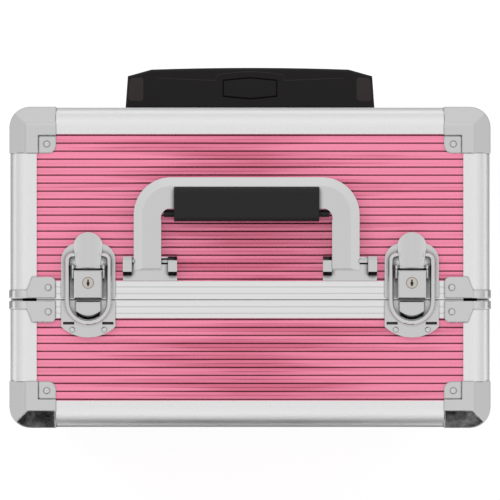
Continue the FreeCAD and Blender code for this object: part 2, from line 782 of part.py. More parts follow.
def base_rim_reliefs():
    """The hinge grooves and leaf recesses of both lids, in the case frame."""
    return [place(tool) for place in (to_rear, to_front) for tool in (hinge_relief(), leaf_recess())]


def at_arm_feet(cutter):
    """The holes or windows of all arm feet, in the case frame."""
    return [place(tool) for place, insets in ((to_rear, REAR_ARM_INSETS), (to_front, FRONT_ARM_INSETS))
            for tool in cutter(insets)]


def to_rear(shape):
    return moved(shape, y=HALF_DEPTH, z=RIM_Z)


def to_front(shape):
    return moved(turned(shape, 180), y=-HALF_DEPTH, z=RIM_Z)


def base_board():
    outer = base_board_block(RIM_Z - RAIL_WEB)
    return [cut(outer, base_box(BOARD_IN, RIM_Z + PAST), *wheel_notch(), *base_rim_reliefs(),
                *at_arm_feet(arm_foot_holes))]


def base_lining():
    outer = base_box(BOARD_IN, RIM_Z - RIM_RAIL_HEIGHT)
    return [cut(outer, base_box(WALL, RIM_Z + PAST), *wheel_notch(), *base_rim_reliefs(),
                *at_arm_feet(arm_foot_windows))]


def base_wall_panels():
    low = GROUND_CLEARANCE + RAIL_WIDTH - RAIL_LAP
    high = RIM_Z - RIM_RAIL_HEIGHT
    first = RIM_Z - FIRST_GROOVE + RIM_RAIL_HEIGHT - RAIL_LAP
    lap = RAIL_WIDTH - RAIL_LAP
    panels = []
    for turn, half_span, out in ((0, HALF_WIDTH - lap, HALF_DEPTH), (90, HALF_DEPTH - lap, HALF_WIDTH),
                                 (180, HALF_WIDTH - lap, HALF_DEPTH), (270, HALF_DEPTH - lap, HALF_WIDTH)):
        sheet = turned(ribbed_sheet(half_span, low, high, first), 90, ORIGIN, X_AXIS)
        sheet = turned(moved(sheet, y=-out + RAIL_SHEET), turn)
        panels.append(cut(sheet, *wheel_notch()))
    return panels


def base_bottom_panel():
    lap = RAIL_WIDTH - RAIL_LAP
    low = GROUND_CLEARANCE + RAIL_SHEET
    half_x = HALF_WIDTH - lap
    half_y = HALF_DEPTH - lap
    sheet = box(-half_x, half_x, -half_y, half_y, low, low + PANEL_SHEET)
    return [cut(sheet, *wheel_notch())]


def base_edge_rails():
    shell = base_block(0, RIM_Z - RIM_RAIL_HEIGHT).cut(base_inner_block())
    side_x = HALF_WIDTH - RAIL_WIDTH
    side_y = HALF_DEPTH - RAIL_WIDTH
    low = GROUND_CLEARANCE + RAIL_WIDTH
    windows = [box(-side_x, side_x, -HALF_DEPTH - PAST, HALF_DEPTH + PAST, low, RIM_Z + PAST),
               box(-HALF_WIDTH - PAST, HALF_WIDTH + PAST, -side_y, side_y, low, RIM_Z + PAST),
               box(-side_x, side_x, -side_y, side_y, 0, low + PAST)]
    return cut(shell, *windows, *at_base_corners(cap_zone()), *wheel_notch()).Solids


def base_rim_rail():
    """Channel round the rim of the base, in four lengths with mitred corners."""
    low = RIM_Z - RIM_RAIL_HEIGHT
    reach_x = HALF_WIDTH + PAST
    reach_y = HALF_DEPTH + PAST
    ring = base_block(0, RIM_Z).common(box(-reach_x, reach_x, -reach_y, reach_y, low, RIM_Z))
    board = base_board_block(RIM_Z - RAIL_WEB).cut(base_box(BOARD_IN, RIM_Z + PAST))
    ring = cut(ring, base_box(WALL, RIM_Z + PAST), board, *base_rim_reliefs(), *at_arm_feet(arm_foot_holes))
    near_x = HALF_WIDTH - WALL - PAST
    near_y = HALF_DEPTH - WALL - PAST
    corners = ((reach_x, reach_y), (near_x, near_y), (near_x, -near_y), (reach_x, -reach_y))
    ends = pair(prism([Vector(x, y, low) for x, y in corners], Vector(0, 0, RIM_RAIL_HEIGHT)))
    return cut(ring, *ends).Solids + [ring.common(end) for end in ends]


def base_corner_caps():
    inside = base_inner_block()
    return [block.cut(inside) for block in at_base_corners(cap_block())]


# Feet, wheels and their housings

def front_feet():
    top = GROUND_CLEARANCE + RAIL_SHEET
    rings = []
    for radius, z in ((FOOT_TIP_RADIUS, 0), (FOOT_RADIUS, top)):
        points = [Vector(a, b, z) for a, b in polygon(radius, FOOT_SIDES)]
        rings.append(Part.makePolygon(points + points[:1]))
    foot = Part.makeLoft(rings, True, True)
    return pair(moved(foot, HALF_WIDTH - FOOT_SIDE_INSET, FOOT_FRONT_INSET - HALF_DEPTH))


def wheel_centre_x():
    return HALF_WIDTH - HOUSING_WIDTH / 2


def wheel_centre_y():
    return HALF_DEPTH - WHEEL_AXLE_INSET


def wheel_housings():
    """Moulded corners that hold the wheels between two cheeks."""
    x = wheel_centre_x()
    y = wheel_centre_y()
    top = GROUND_CLEARANCE + HOUSING_RISE
    corner = bevel_edges(base_box(0, RIM_Z), HOUSING_BEVEL, base_outer_edge(0))
    block = corner.common(wheel_notch()[0])
    drop = HOUSING_CHEEK_DROP
    rise = top - WHEEL_RADIUS - drop / 2
    sides = [(drop, 0), (2 * drop, rise), (-2.5 * drop, rise), (-drop, 0), (-drop / 2, -drop),
             (drop / 2, -drop)]
    half = HOUSING_WIDTH / 2 - HOUSING_CHEEK_INSET
    cheeks = prism([Vector(x - half, y + a, WHEEL_RADIUS + b) for a, b in sides], Vector(2 * half, 0, 0))
    reach = WHEEL_WIDTH / 2 + WHEEL_SIDE_GAP
    around = WHEEL_RADIUS + WHEEL_RIM_GAP
    room = bore_x(around, x - reach, x + reach, y, WHEEL_RADIUS, HOUSING_ROOM_SIDES)
    below = box(x - reach, x + reach, y - around, HALF_DEPTH + PAST, -PAST, WHEEL_RADIUS)
    bore = pivot_x(AXLE_RADIUS, x - half - PAST, x + half + PAST, y, WHEEL_RADIUS)
    return pair(cut(block.fuse(cheeks), room, below, bore))


def wheel_axles():
    x = wheel_centre_x()
    half = HOUSING_WIDTH / 2 - HOUSING_CHEEK_INSET
    return pair(pivot_x(AXLE_RADIUS, x - half, x + half, wheel_centre_y(), WHEEL_RADIUS))


def wheel_tyre():
    """One tyre, bevelled on both shoulders of its tread."""
    rim = WHEEL_RADIUS - TYRE_THICKNESS
    half = WHEEL_WIDTH / 2
    flat = half - TYRE_CHAMFER
    shoulder = WHEEL_RADIUS - TYRE_CHAMFER
    wire = outline(Vector(-half, 0, rim), Vector(-half, 0, shoulder), Vector(-flat, 0, WHEEL_RADIUS),
                   Vector(flat, 0, WHEEL_RADIUS), Vector(half, 0, shoulder), Vector(half, 0, rim))
    tyre = Part.Face(wire).revolve(ORIGIN, X_AXIS, 360)
    return moved(tyre, wheel_centre_x(), wheel_centre_y(), WHEEL_RADIUS)


def wheel_hub():
    """One moulded hub: rim, web and boss, with a window between each pair of spokes."""
    rim = WHEEL_RADIUS - TYRE_THICKNESS
    half = WHEEL_WIDTH / 2
    bowl = rim - HUB_RIM
    boss = AXLE_RADIUS + HUB_BOSS
    hub = rod_x(rim, -half, half, 0, 0)
    for side in (-1, 1):
        pocket = pivot_x(bowl, side * HUB_WEB / 2, side * (half + PAST), 0, 0, HUB_BOWL_SIDES)
        hub = hub.cut(pocket.cut(pivot_x(boss, side * HUB_WEB / 2, side * (half + PAST), 0, 0)))
    spread = math.pi / HUB_WINDOWS * HUB_WINDOW_SHARE
    low = boss + HUB_SPOKE_EDGE
    high = bowl - HUB_SPOKE_EDGE
    corners = [(low, -spread), (high, -spread), (high, spread), (low, spread)]
    plan = [Vector(-half, r * math.cos(a), r * math.sin(a)) for r, a in corners]
    window = prism(plan, Vector(2 * half, 0, 0))
    for n in range(HUB_WINDOWS):
        hub = hub.cut(turned(window, 360.0 * n / HUB_WINDOWS, ORIGIN, X_AXIS))
    hub = hub.cut(bore_x(AXLE_RADIUS + AXLE_PLAY, -half - PAST, half + PAST, 0, 0))
    return moved(hub, wheel_centre_x(), wheel_centre_y(), WHEEL_RADIUS)


# Carry handle and its brackets, in the case frame

def handle_outline(grow, low):
    """The frame's plan: a U with rounded corners, drawn in by -grow on its outer edge."""
    half = HANDLE_SPAN / 2 + grow
    top = HANDLE_PIVOT_Y + HANDLE_REACH + grow
    radius = HANDLE_CORNER + grow
    bend = radius * (1 - math.sqrt(0.5))
    return outline(Vector(-half, low, 0), Vector(half, low, 0), Vector(half, top - radius, 0),
                   (Vector(half - bend, top - bend, 0), Vector(half - radius, top, 0)),
                   Vector(-half + radius, top, 0),
                   (Vector(-half + bend, top - bend, 0), Vector(-half, top - radius, 0)))


def handle_window():
    """The opening inside the frame: wide between the legs, narrower round the grip."""
    half = HANDLE_SPAN / 2 - HANDLE_LEG_WIDTH
    grip = GRIP_LENGTH / 2
    grip_top = HANDLE_PIVOT_Y + HANDLE_REACH - HANDLE_TOP_STRIP
    shelf = grip_top - HANDLE_SHELF
    notch = grip + GRIP_FERRULE_LENGTH
    low = HANDLE_PIVOT_Y - HANDLE_HEEL - PAST
    corner = shelf - HANDLE_INNER_CORNER
    bend = half - HANDLE_INNER_BEND
    drop = shelf - HANDLE_INNER_DROP
    wire = outline(Vector(-half, low, 0), Vector(half, low, 0), Vector(half, corner, 0),
                   (Vector(bend, drop, 0), Vector(notch, shelf, 0)),
                   Vector(grip, shelf, 0), Vector(grip, grip_top, 0), Vector(-grip, grip_top, 0),
                   Vector(-grip, shelf, 0), Vector(-notch, shelf, 0),
                   (Vector(-bend, drop, 0), Vector(-half, corner, 0)))
    return moved(slab(wire, HANDLE_THICKNESS * 3), z=-HANDLE_THICKNESS)


def carry_handle_frame():
    low = HANDLE_PIVOT_Y - HANDLE_HEEL
    flat = slab(handle_outline(0, low), HANDLE_THICKNESS - HANDLE_BEVEL)
    crown = Part.makeLoft([moved(handle_outline(0, low), z=HANDLE_THICKNESS - HANDLE_BEVEL),
                           moved(handle_outline(-HANDLE_BEVEL * 3, low), z=HANDLE_THICKNESS)], True, True)
    frame = flat.fuse(crown).cut(handle_window())
    frame = moved(frame, HANDLE_SHIFT, 0, TOP_Z + HANDLE_PIVOT_LIFT - HANDLE_THICKNESS / 2)
    span = HANDLE_SPAN / 2 + PAST
    z = TOP_Z + HANDLE_PIVOT_LIFT
    bore = bore_x(HANDLE_PIN_RADIUS + HANDLE_PIN_PLAY, HANDLE_SHIFT - span, HANDLE_SHIFT + span,
                  HANDLE_PIVOT_Y, z)
    sockets = handle_ferrules(grow=TINY)
    heel = HANDLE_THICKNESS / 2 + PAST
    corner = box(-HALF_WIDTH, HALF_WIDTH, low - PAST, HANDLE_PIVOT_Y, z - heel, z + heel)
    rounded = rod_x(HANDLE_HEEL, -HALF_WIDTH, HALF_WIDTH, HANDLE_PIVOT_Y, z)
    frame = frame.cut(corner.cut(rounded))
    return cut(frame, bore, *sockets).Solids


def handle_ferrules(grow=0.0):
    """Stubs at both ends of the grip, seated in the frame."""
    y = HANDLE_PIVOT_Y + HANDLE_REACH - HANDLE_TOP_STRIP - GRIP_DEPTH + GRIP_FERRULE_RISE
    z = TOP_Z + HANDLE_PIVOT_LIFT
    grip = GRIP_LENGTH / 2
    end = grip + GRIP_FERRULE_LENGTH + GRIP_FERRULE_SEAT
    stub = pivot_x(GRIP_FERRULE_RADIUS + grow, grip - PAST, end, y, z)
    return [moved(shape, HANDLE_SHIFT) for shape in pair(stub)]


def carry_handle_grip():
    half = GRIP_LENGTH / 2
    top = HANDLE_PIVOT_Y + HANDLE_REACH - HANDLE_TOP_STRIP
    z = TOP_Z + HANDLE_PIVOT_LIFT - GRIP_THICKNESS / 2
    grip = box(-half, half, top - GRIP_DEPTH, top, z, z + GRIP_THICKNESS)
    grip = round_edges(grip, GRIP_ROUND, lambda b: b.XLength > half)
    grip = moved(grip, HANDLE_SHIFT)
    for stub in handle_ferrules():
        grip = grip.fuse(stub)
    return [grip.removeSplitter()]


def handle_brackets():
    """A base plate with two ears for each leg of the handle."""
    half = BRACKET_LENGTH / 2
    back = PARTING_Y + PARTING_RAIL_WIDTH + BRACKET_RAIL_GAP
    lip = TOP_Z - RAIL_SHEET
    plate = box(-half, half, back, back + BRACKET_DEPTH, lip, lip + BRACKET_SHEET)
    deep = BRACKET_EAR_DEPTH / 2
    bevel = BRACKET_EAR_BEVEL
    sides = [(-deep, 0), (deep, 0), (deep, BRACKET_HEIGHT - bevel), (deep - bevel, BRACKET_HEIGHT),
             (bevel - deep, BRACKET_HEIGHT), (-deep, BRACKET_HEIGHT - bevel)]
    ear = prism([Vector(0, a, b) for a, b in sides], Vector(BRACKET_EAR, 0, 0))
    y = HANDLE_PIVOT_Y - BRACKET_EAR_SETBACK
    bracket = plate
    for x in (-half, half - BRACKET_EAR):
        bracket = bracket.fuse(moved(ear, x, y, lip))
    return [cut(moved(bracket, side * BRACKET_X), *handle_pins()) for side in (-1, 1)]


def handle_pins():
    half = BRACKET_LENGTH / 2
    return pair(pivot_x(HANDLE_PIN_RADIUS, BRACKET_X - half, BRACKET_X + half, HANDLE_PIVOT_Y,
                        TOP_Z + HANDLE_PIVOT_LIFT))


# Draw latches, drawn with the middle of the lever's pin on x = 0 and y = 0

def latch_plate():
    """Back plate: shoulders drawn in to a narrow flat top end."""
    half = LATCH_PLATE_WIDTH / 2
    top = LATCH_PLATE_TOP_WIDTH / 2
    front = LATCH_PLATE_FRONT
    bend = (half + top) / 2 + LATCH_PLATE_BULGE
    rise = (LATCH_PLATE_SHOULDER + LATCH_PLATE_BACK) / 2 + LATCH_PLATE_RISE
    wire = outline(Vector(-half, front, 0), Vector(half, front, 0), Vector(half, LATCH_PLATE_SHOULDER, 0),
                   (Vector(bend, rise, 0), Vector(top, LATCH_PLATE_BACK, 0)),
                   Vector(-top, LATCH_PLATE_BACK, 0),
                   (Vector(-bend, rise, 0), Vector(-half, LATCH_PLATE_SHOULDER, 0)))
    sheet = moved(slab(wire, LATCH_PLATE_SHEET + RAIL_SHEET), z=TOP_Z - RAIL_SHEET)
    rail_edge = PARTING_Y + PARTING_RAIL_WIDTH - LATCH_Y
    rail = box(-half - PAST, half + PAST, front - PAST, rail_edge, TOP_Z - RAIL_SHEET, TOP_Z)
    return sheet.cut(rail)


def lock_housing():
    """Raised lock body with ears behind it for the lever's pin."""
    half = LOCK_WIDTH / 2
    low = TOP_Z + LATCH_PLATE_SHEET
    body = box(-half, half, LOCK_FRONT, LOCK_BACK, low, TOP_Z + LOCK_RISE)
    body = bevel_edges(body, LOCK_BEVEL, lambda b: b.ZMin > TOP_Z + LOCK_RISE - TINY)
    plug = rod_z(LOCK_PLUG_RADIUS + LOCK_PLUG_PLAY, 0, LOCK_PLUG_Y,
                 TOP_Z + LOCK_RISE - LOCK_PLUG_DEPTH, TOP_Z + LOCK_RISE + PAST)
    axis_z = TOP_Z + LEVER_AXIS_LIFT
    inner = half + LOCK_EAR_GAP
    eye = LEVER_BARREL_RADIUS + LOCK_EAR_GAP
    foot = LOCK_BACK - LOCK_EAR_REACH
    sides = [(foot, low), (eye, low), (eye, axis_z + eye / 2), (eye / 2, axis_z + eye),
             (-eye / 2, axis_z + eye), (-eye, axis_z + eye / 2), (foot, axis_z)]
    ear = prism([Vector(inner, y, z) for y, z in sides], Vector(LOCK_EAR_SHEET, 0, 0))
    strap = box(half - TINY, inner + TINY, foot, LOCK_BACK - LOCK_BEVEL, low, axis_z)
    ears = pair(ear.fuse(strap))
    return body.cut(plug).fuse(ears[0]).fuse(ears[1])


def lever_pin():
    reach = LOCK_WIDTH / 2 + LOCK_EAR_GAP + LOCK_EAR_SHEET
    return pivot_x(LEVER_PIN_RADIUS, -reach, reach, 0, TOP_Z + LEVER_AXIS_LIFT)


def latch_body():
    body = latch_plate().fuse(lock_housing()).removeSplitter()
    return body.fuse(lever_pin()).removeSplitter()


def lock_plug():
    top = TOP_Z + LOCK_RISE
    plug = rod_z(LOCK_PLUG_RADIUS, 0, LOCK_PLUG_Y, top - LOCK_PLUG_DEPTH, top + 0.3)
    slot = box(-KEYWAY_WIDTH / 2, KEYWAY_WIDTH / 2, LOCK_PLUG_Y - KEYWAY_LENGTH / 2,
               LOCK_PLUG_Y + KEYWAY_LENGTH / 2, top - 2.5, top + PAST)
    return plug.cut(slot)


def latch_lever():
    """Rounded tab, crowned across, with the barrel at its neck and a bore for the bail."""
    neck = LEVER_NECK_WIDTH / 2
    wide = LEVER_WIDTH / 2
    start = LEVER_BARREL_RADIUS
    plan = outline(Vector(-neck, 0, 0), Vector(neck, 0, 0), Vector(neck, start, 0),
                   Vector(wide, LEVER_WIDEST_Y, 0),
                   (Vector(0, LEVER_TIP_Y, 0), Vector(-wide, LEVER_WIDEST_Y, 0)), Vector(-neck, start, 0))
    axis_z = TOP_Z + LEVER_AXIS_LIFT
    low = axis_z - LEVER_BARREL_RADIUS - 4.0
    tab = moved(slab(plan, 12.0), z=low)
    spread = (wide * wide + LEVER_CROWN * LEVER_CROWN) / (2 * LEVER_CROWN)
    rise = axis_z + LEVER_BARREL_RADIUS + LEVER_CROWN * 0.2
    sheet = rod(spread, Vector(0, -PAST, rise - spread), Vector(0, LEVER_TIP_Y + PAST, rise - spread))
    sheet = sheet.cut(rod(spread - LEVER_SHEET, Vector(0, -2 * PAST, rise - spread),
                          Vector(0, LEVER_TIP_Y + 2 * PAST, rise - spread)))
    tab = tab.common(sheet)
    barrel = pivot_x(LEVER_BARREL_RADIUS, -neck, neck, 0, axis_z)
    boss = pivot_x(BAIL_WIRE / 2 + LEVER_BOSS_WALL, -neck, neck, BAIL_AXIS_Y, bail_axis_z())
    web = box(-neck, neck, 0, BAIL_AXIS_Y, axis_z - LEVER_SHEET / 2, axis_z + LEVER_SHEET / 2)
    lever = tab.fuse(barrel).fuse(boss).fuse(web).removeSplitter()
    reach = wide + PAST
    bail_bore = bore_x(BAIL_WIRE / 2 + BAIL_BORE_PLAY, -reach, reach, BAIL_AXIS_Y, bail_axis_z())
    pin_bore = bore_x(LEVER_PIN_RADIUS + LEVER_PIN_PLAY, -reach, reach, 0, axis_z)
    return cut(lever, bail_bore, pin_bore)


def bail_axis_z():
    return TOP_Z + LEVER_AXIS_LIFT - BAIL_AXIS_DROP


def bail_toe_z():
    return TOP_Z + LATCH_PLATE_SHEET + BAIL_WIRE / 2 + BAIL_TOE_LIFT


def latch_bail():
    """Closed wire loop: straight through the lever, down both sides, round the tongue."""
    radius = BAIL_WIRE / 2
    half = BAIL_WIDTH / 2 - radius
    length = BAIL_AXIS_Y - (BAIL_TOE_Y + radius)
    corner = BAIL_CORNER
    bend = corner * (1 - math.sqrt(0.5))
    toe = -length
    arc_y = toe + half
    drop = half * math.sqrt(0.5)
    path = outline(Vector(-half + corner, 0, 0), Vector(half - corner, 0, 0),
                   (Vector(half - bend, -bend, 0), Vector(half, -corner, 0)),
                   Vector(half, arc_y, 0), (Vector(drop, arc_y - drop, 0), Vector(0, toe, 0)),
                   (Vector(-drop, arc_y - drop, 0), Vector(-half, arc_y, 0)),
                   Vector(-half, -corner, 0), (Vector(-half + bend, -bend, 0), Vector(-half + corner, 0, 0)))
    corners = [Vector(0, a, b) for a, b in polygon(radius, BAIL_SIDES)]
    section = Part.makePolygon(corners + corners[:1])
    loop = path.makePipeShell([section], True, False)
    sink = bail_axis_z() - bail_toe_z()
    loop = turned(loop, math.degrees(math.asin(sink / length)), ORIGIN, X_AXIS)
    return moved(loop, y=BAIL_AXIS_Y, z=bail_axis_z())


def catch_plate():
    """Plate with an arched front end, two slots, and the tongue that the bail holds."""
    half = LATCH_PLATE_WIDTH / 2
    wire = outline(Vector(-half, CATCH_BACK, 0), Vector(-half, CATCH_ARC_START, 0),
                   (Vector(0, CATCH_FRONT, 0), Vector(half, CATCH_ARC_START, 0)), Vector(half, CATCH_BACK, 0))
    plate = moved(slab(wire, LATCH_PLATE_SHEET + RAIL_SHEET), z=TOP_Z - RAIL_SHEET)
    front_rail_edge = PARTING_Y - LID_GAP - PARTING_RAIL_WIDTH - LATCH_Y
    rail = box(-half - PAST, half + PAST, front_rail_edge, CATCH_BACK + PAST, TOP_Z - RAIL_SHEET, TOP_Z)
    plate = plate.cut(rail)
    slot_x = half - 1.4
    for side in (-1, 1):
        x0, x1 = sorted((side * slot_x, side * (slot_x - CATCH_SLOT_WIDTH)))
        low = CATCH_SLOT_Y - CATCH_SLOT_DEPTH
        slot = box(x0, x1, low, CATCH_SLOT_Y, TOP_Z - RAIL_SHEET - PAST, TOP_Z + PAST)
        plate = plate.cut(slot)
    return plate.fuse(catch_tongue())


def catch_tongue():
    """Raised U-shaped tongue whose toe ramps down under the bail's wire."""
    width = CATCH_TONGUE_WIDTH / 2
    low = TOP_Z + LATCH_PLATE_SHEET - TINY
    back = CATCH_BACK - 1.0
    wire_y = BAIL_TOE_Y + BAIL_WIRE / 2
    wire_bend = BAIL_WIDTH / 2 - BAIL_WIRE / 2
    toe = wire_y + CATCH_TONGUE_SETBACK
    body = slab(outline(Vector(-width, back, low), Vector(-width, toe + width, low),
                        (Vector(0, toe, low), Vector(width, toe + width, low)), Vector(width, back, low)),
                CATCH_TONGUE_RISE)
    ramp = math.radians(CATCH_TONGUE_RAMP)
    ahead = outline(Vector(-wire_bend, toe + wire_bend, low),
                    (Vector(0, toe, low), Vector(wire_bend, toe + wire_bend, low)),
                    Vector(wire_bend, toe - CATCH_TONGUE_LENGTH, low),
                    Vector(-wire_bend, toe - CATCH_TONGUE_LENGTH, low))
    run = 2 * CATCH_TONGUE_RISE / math.sin(ramp)
    slope = Part.Face(ahead).extrude(Vector(0, run * math.cos(ramp), run * math.sin(ramp)))
    return body.cut(slope)


def at_latches(shape):
    return [moved(shape, side * LATCH_X, LATCH_Y) for side in (-1, 1)]


# Telescopic trolley, in the case frame

def tube_section(stage):
    """Outer width and depth of a tube; stage 0 is the fixed one."""
    shrink = 2 * stage * (TUBE_WALL + TUBE_GAP)
    return TUBE_WIDTH - shrink, TUBE_DEPTH - shrink


def tube_y():
    return HALF_DEPTH + TUBE_STANDOFF + TUBE_DEPTH / 2


def tube_solid(width, depth, low, high):
    block = box(-width / 2, width / 2, -depth / 2, depth / 2, low, high)
    return bevel_edges(block, TUBE_BEVEL, upright)


def bracket_top():
    return RIM_Z - TROLLEY_GRIP_DROP - TROLLEY_GRIP_BAR - TROLLEY_GRIP_LEG - TROLLEY_BRACKET_GAP


def trolley_tubes(stage):
    width, depth = tube_section(stage)
    low = TUBE_LOW + stage * TUBE_STEP
    high = bracket_top() + stage * TUBE_STEP
    if stage == TROLLEY_STAGES:
        high = bracket_top() + TROLLEY_BRACKET_GAP + TROLLEY_GRIP_LEG / 2
    tube = tube_solid(width, depth, low, high)
    bore = tube_solid(width - 2 * TUBE_WALL, depth - 2 * TUBE_WALL, low - PAST, high + PAST)
    return pair(moved(tube.cut(bore), TUBE_PITCH / 2, tube_y()))


def tube_room(stage, low, high):
    """A filled tube, to cut its place out of what holds it."""
    width, depth = tube_section(stage)
    return pair(moved(tube_solid(width, depth, low, high), TUBE_PITCH / 2, tube_y()))


def trolley_grip_plan():
    """The grip's plan: sides drawn in a little, straight shoulders, a long shallow arch behind."""
    half = TROLLEY_GRIP_WIDTH / 2
    near = half - TROLLEY_GRIP_TAPER
    y0 = HALF_DEPTH + TROLLEY_GRIP_BACK_GAP
    side = HALF_DEPTH + TROLLEY_GRIP_SIDE_REACH
    shoulder = HALF_DEPTH + TROLLEY_GRIP_SHOULDER_REACH
    peak = HALF_DEPTH + TROLLEY_GRIP_REACH
    return outline(Vector(-half, y0, 0), Vector(half, y0, 0), Vector(near, side, 0),
                   Vector(TROLLEY_GRIP_SHOULDER_X, shoulder, 0),
                   (Vector(0, peak, 0), Vector(-TROLLEY_GRIP_SHOULDER_X, shoulder, 0)),
                   Vector(-near, side, 0))


def button_outline(shrink):
    """Flat hexagon: short upright sides, and a low point in the middle of each long side."""
    half = BUTTON_LENGTH / 2 - shrink
    side = BUTTON_SIDE / 2 - shrink
    peak = BUTTON_DEPTH / 2 - shrink
    y = HALF_DEPTH + BUTTON_Y
    return outline(Vector(-half, y - side, 0), Vector(0, y - peak, 0), Vector(half, y - side, 0),
                   Vector(half, y + side, 0), Vector(0, y + peak, 0), Vector(-half, y + side, 0))


def trolley_grip():
    """Bar with a bevelled rim and a leg over each tube, with a well for the button."""
    top = RIM_Z - TROLLEY_GRIP_DROP
    low = top - TROLLEY_GRIP_BAR
    bar = moved(slab(trolley_grip_plan(), TROLLEY_GRIP_BAR), z=low)
    y0 = HALF_DEPTH + TROLLEY_GRIP_BACK_GAP
    bar = bevel_edges(bar, TROLLEY_GRIP_BEVEL, lambda b: b.ZMin > top - TINY and b.YMax > y0 + TINY)
    half = TROLLEY_GRIP_LEG_WIDTH / 2
    leg = box(TUBE_PITCH / 2 - half, TUBE_PITCH / 2 + half, y0, HALF_DEPTH + TROLLEY_GRIP_LEG_REACH,
              low - TROLLEY_GRIP_LEG, low + TINY)
    leg = bevel_edges(leg, TROLLEY_GRIP_LEG_CHAMFER, lambda b: upright(b) and b.YMin > y0 + TINY)
    legs = pair(leg)
    grip = bar.fuse(legs[0]).fuse(legs[1]).removeSplitter()
    room = BUTTON_HEIGHT + BUTTON_TRAVEL + BUTTON_FLOOR_GAP
    well = moved(slab(button_outline(0), room + PAST), z=top - room)
    sockets = tube_room(TROLLEY_STAGES, low - TROLLEY_GRIP_LEG - PAST, low - TROLLEY_GRIP_LEG / 2)
    return [cut(grip, well, *sockets)]


def trolley_button():
    top = RIM_Z - TROLLEY_GRIP_DROP + BUTTON_PROUD
    cap = moved(slab(button_outline(BUTTON_GAP), BUTTON_HEIGHT), z=top - BUTTON_HEIGHT)
    return [bevel_edges(cap, BUTTON_BEVEL, lambda b: b.ZMin > top - TINY)]


def trolley_brackets():
    """The upper and lower mouldings that hold the fixed tubes to the back wall."""
    solids = []
    half = TROLLEY_GRIP_WIDTH / 2 - TROLLEY_BRACKET_INSET
    out = HALF_DEPTH + TUBE_STANDOFF + TUBE_DEPTH + TROLLEY_BRACKET_COVER
    between = TUBE_PITCH / 2 - TUBE_WIDTH / 2 - TROLLEY_BRACKET_SIDE
    waist = box(-between, between, HALF_DEPTH + TROLLEY_BRACKET_WAIST, out + PAST, 0, RIM_Z)
    bottom_rail = box(-HALF_WIDTH, HALF_WIDTH, 0, HALF_DEPTH, 0, GROUND_CLEARANCE + RAIL_WIDTH)
    for high in (bracket_top(), TUBE_LOW - TROLLEY_BRACKET_FLOOR + TROLLEY_BRACKET_HEIGHT):
        low = high - TROLLEY_BRACKET_HEIGHT
        block = box(-half, half, HALF_DEPTH - RAIL_SHEET, out, low, high)
        block = bevel_edges(block, TROLLEY_BRACKET_BEVEL, lambda b: upright(b) and b.YMin > HALF_DEPTH)
        room = tube_room(0, max(low - PAST, TUBE_LOW), high + PAST)
        solids.append(cut(block, bottom_rail, waist, *room))
    return solids


# Assembly

def save(name, solids):
    group = Part.makeCompound([solid for shape in solids for solid in shape.Solids])
    group.translate(Vector(0, ROW_SHIFT_Y, 0))
    group.exportStep("parts/" + name + ".step")


def save_lid(side, depth, place):
    pieces = {"board": lid_board(depth), "top_panel": lid_top_panel(depth),
              "wall_panels": lid_wall_panels(depth), "rails": lid_edge_rails(depth) + lid_rim_rail(depth),
              "parting_rails": lid_parting_rails(depth), "corner_fittings": lid_fittings(depth),
              "lining": lid_lining(depth)}
    for name, solids in pieces.items():
        save(side + "_lid_" + name, [place(solid) for solid in solids])


def main():
    os.makedirs("parts", exist_ok=True)
    save("base_board", base_board())
    save("base_lining", base_lining())
    save("base_wall_panels", base_wall_panels())
    save("base_bottom_panel", base_bottom_panel())
    save("base_edge_rails", base_edge_rails())
    save("base_rim_rail", base_rim_rail())
    save("base_corner_caps", base_corner_caps())
    save("front_feet", front_feet())
    save("wheel_housings", wheel_housings())
    save("wheel_axles", wheel_axles())

    save_lid("rear", REAR_LID_DEPTH, to_rear)
    save_lid("front", FRONT_LID_DEPTH, to_front)

    save("rear_hinge_lid_leaf", [to_rear(hinge_leaf(1, 0, 1))])
    save("front_hinge_lid_leaf", [to_front(hinge_leaf(1, 0, 1))])
    save("hinge_base_leaves", [place(hinge_leaf(0, 1, -1)) for place in (to_rear, to_front)])

    for side, place, depth, insets in (("rear", to_rear, REAR_LID_DEPTH, REAR_ARM_INSETS),
                                       ("front", to_front, FRONT_LID_DEPTH, FRONT_ARM_INSETS)):
        for name, inset in zip(("outer", "inner"), insets):
            save(side + "_tray_arms_" + name, [place(arm) for arm in arms(inset)])
        for tier, name in enumerate(("lower", "upper")):
            save(side + "_tray_" + name, [place(solid) for solid in tray(depth, insets, tier)])

    save("carry_handle_frame", carry_handle_frame())
    save("carry_handle_grip", carry_handle_grip())
    save("handle_brackets", handle_brackets())
    save("handle_pins", handle_pins())
    save("latch_bodies", at_latches(latch_body()))
    save("latch_catch_plates", at_latches(catch_plate()))
    for name, shape in (("lever", latch_lever()), ("bail", latch_bail()), ("lock_plug", lock_plug())):
        for side, solid in zip(("left", "right"), at_latches(shape)):
            save(side + "_latch_" + name, [solid])

    for stage in range(TROLLEY_STAGES + 1):
        name = "fixed" if stage == 0 else "stage_" + str(stage)
        save("trolley_tubes_" + name, trolley_tubes(stage))
    save("trolley_grip", trolley_grip())
    save("trolley_button", trolley_button())
    save("trolley_brackets", trolley_brackets())
    for name, shape in (("hub", wheel_hub()), ("tyre", wheel_tyre())):
        for side, solid in zip(("right", "left"), pair(shape)):
            save(side + "_wheel_" + name, [solid])


main()
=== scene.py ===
# %% [markdown]
# # Dressing a rolling grooming case
# The case arrives from CAD as 58 named pieces that already have their true shape and size.
# Blender's work is what CAD leaves out: rivet heads and screws, the smooth wire of the latches, the finish of
# every surface, and light that lets chrome look like chrome. This first cell loads the pieces and sets up how
# boxes are measured, so that the last cell can measure the dressed case.

# %% Load the frame and the tools that measure boxes
import json
import math
import bmesh
import bpy
from mathutils import Matrix, Vector


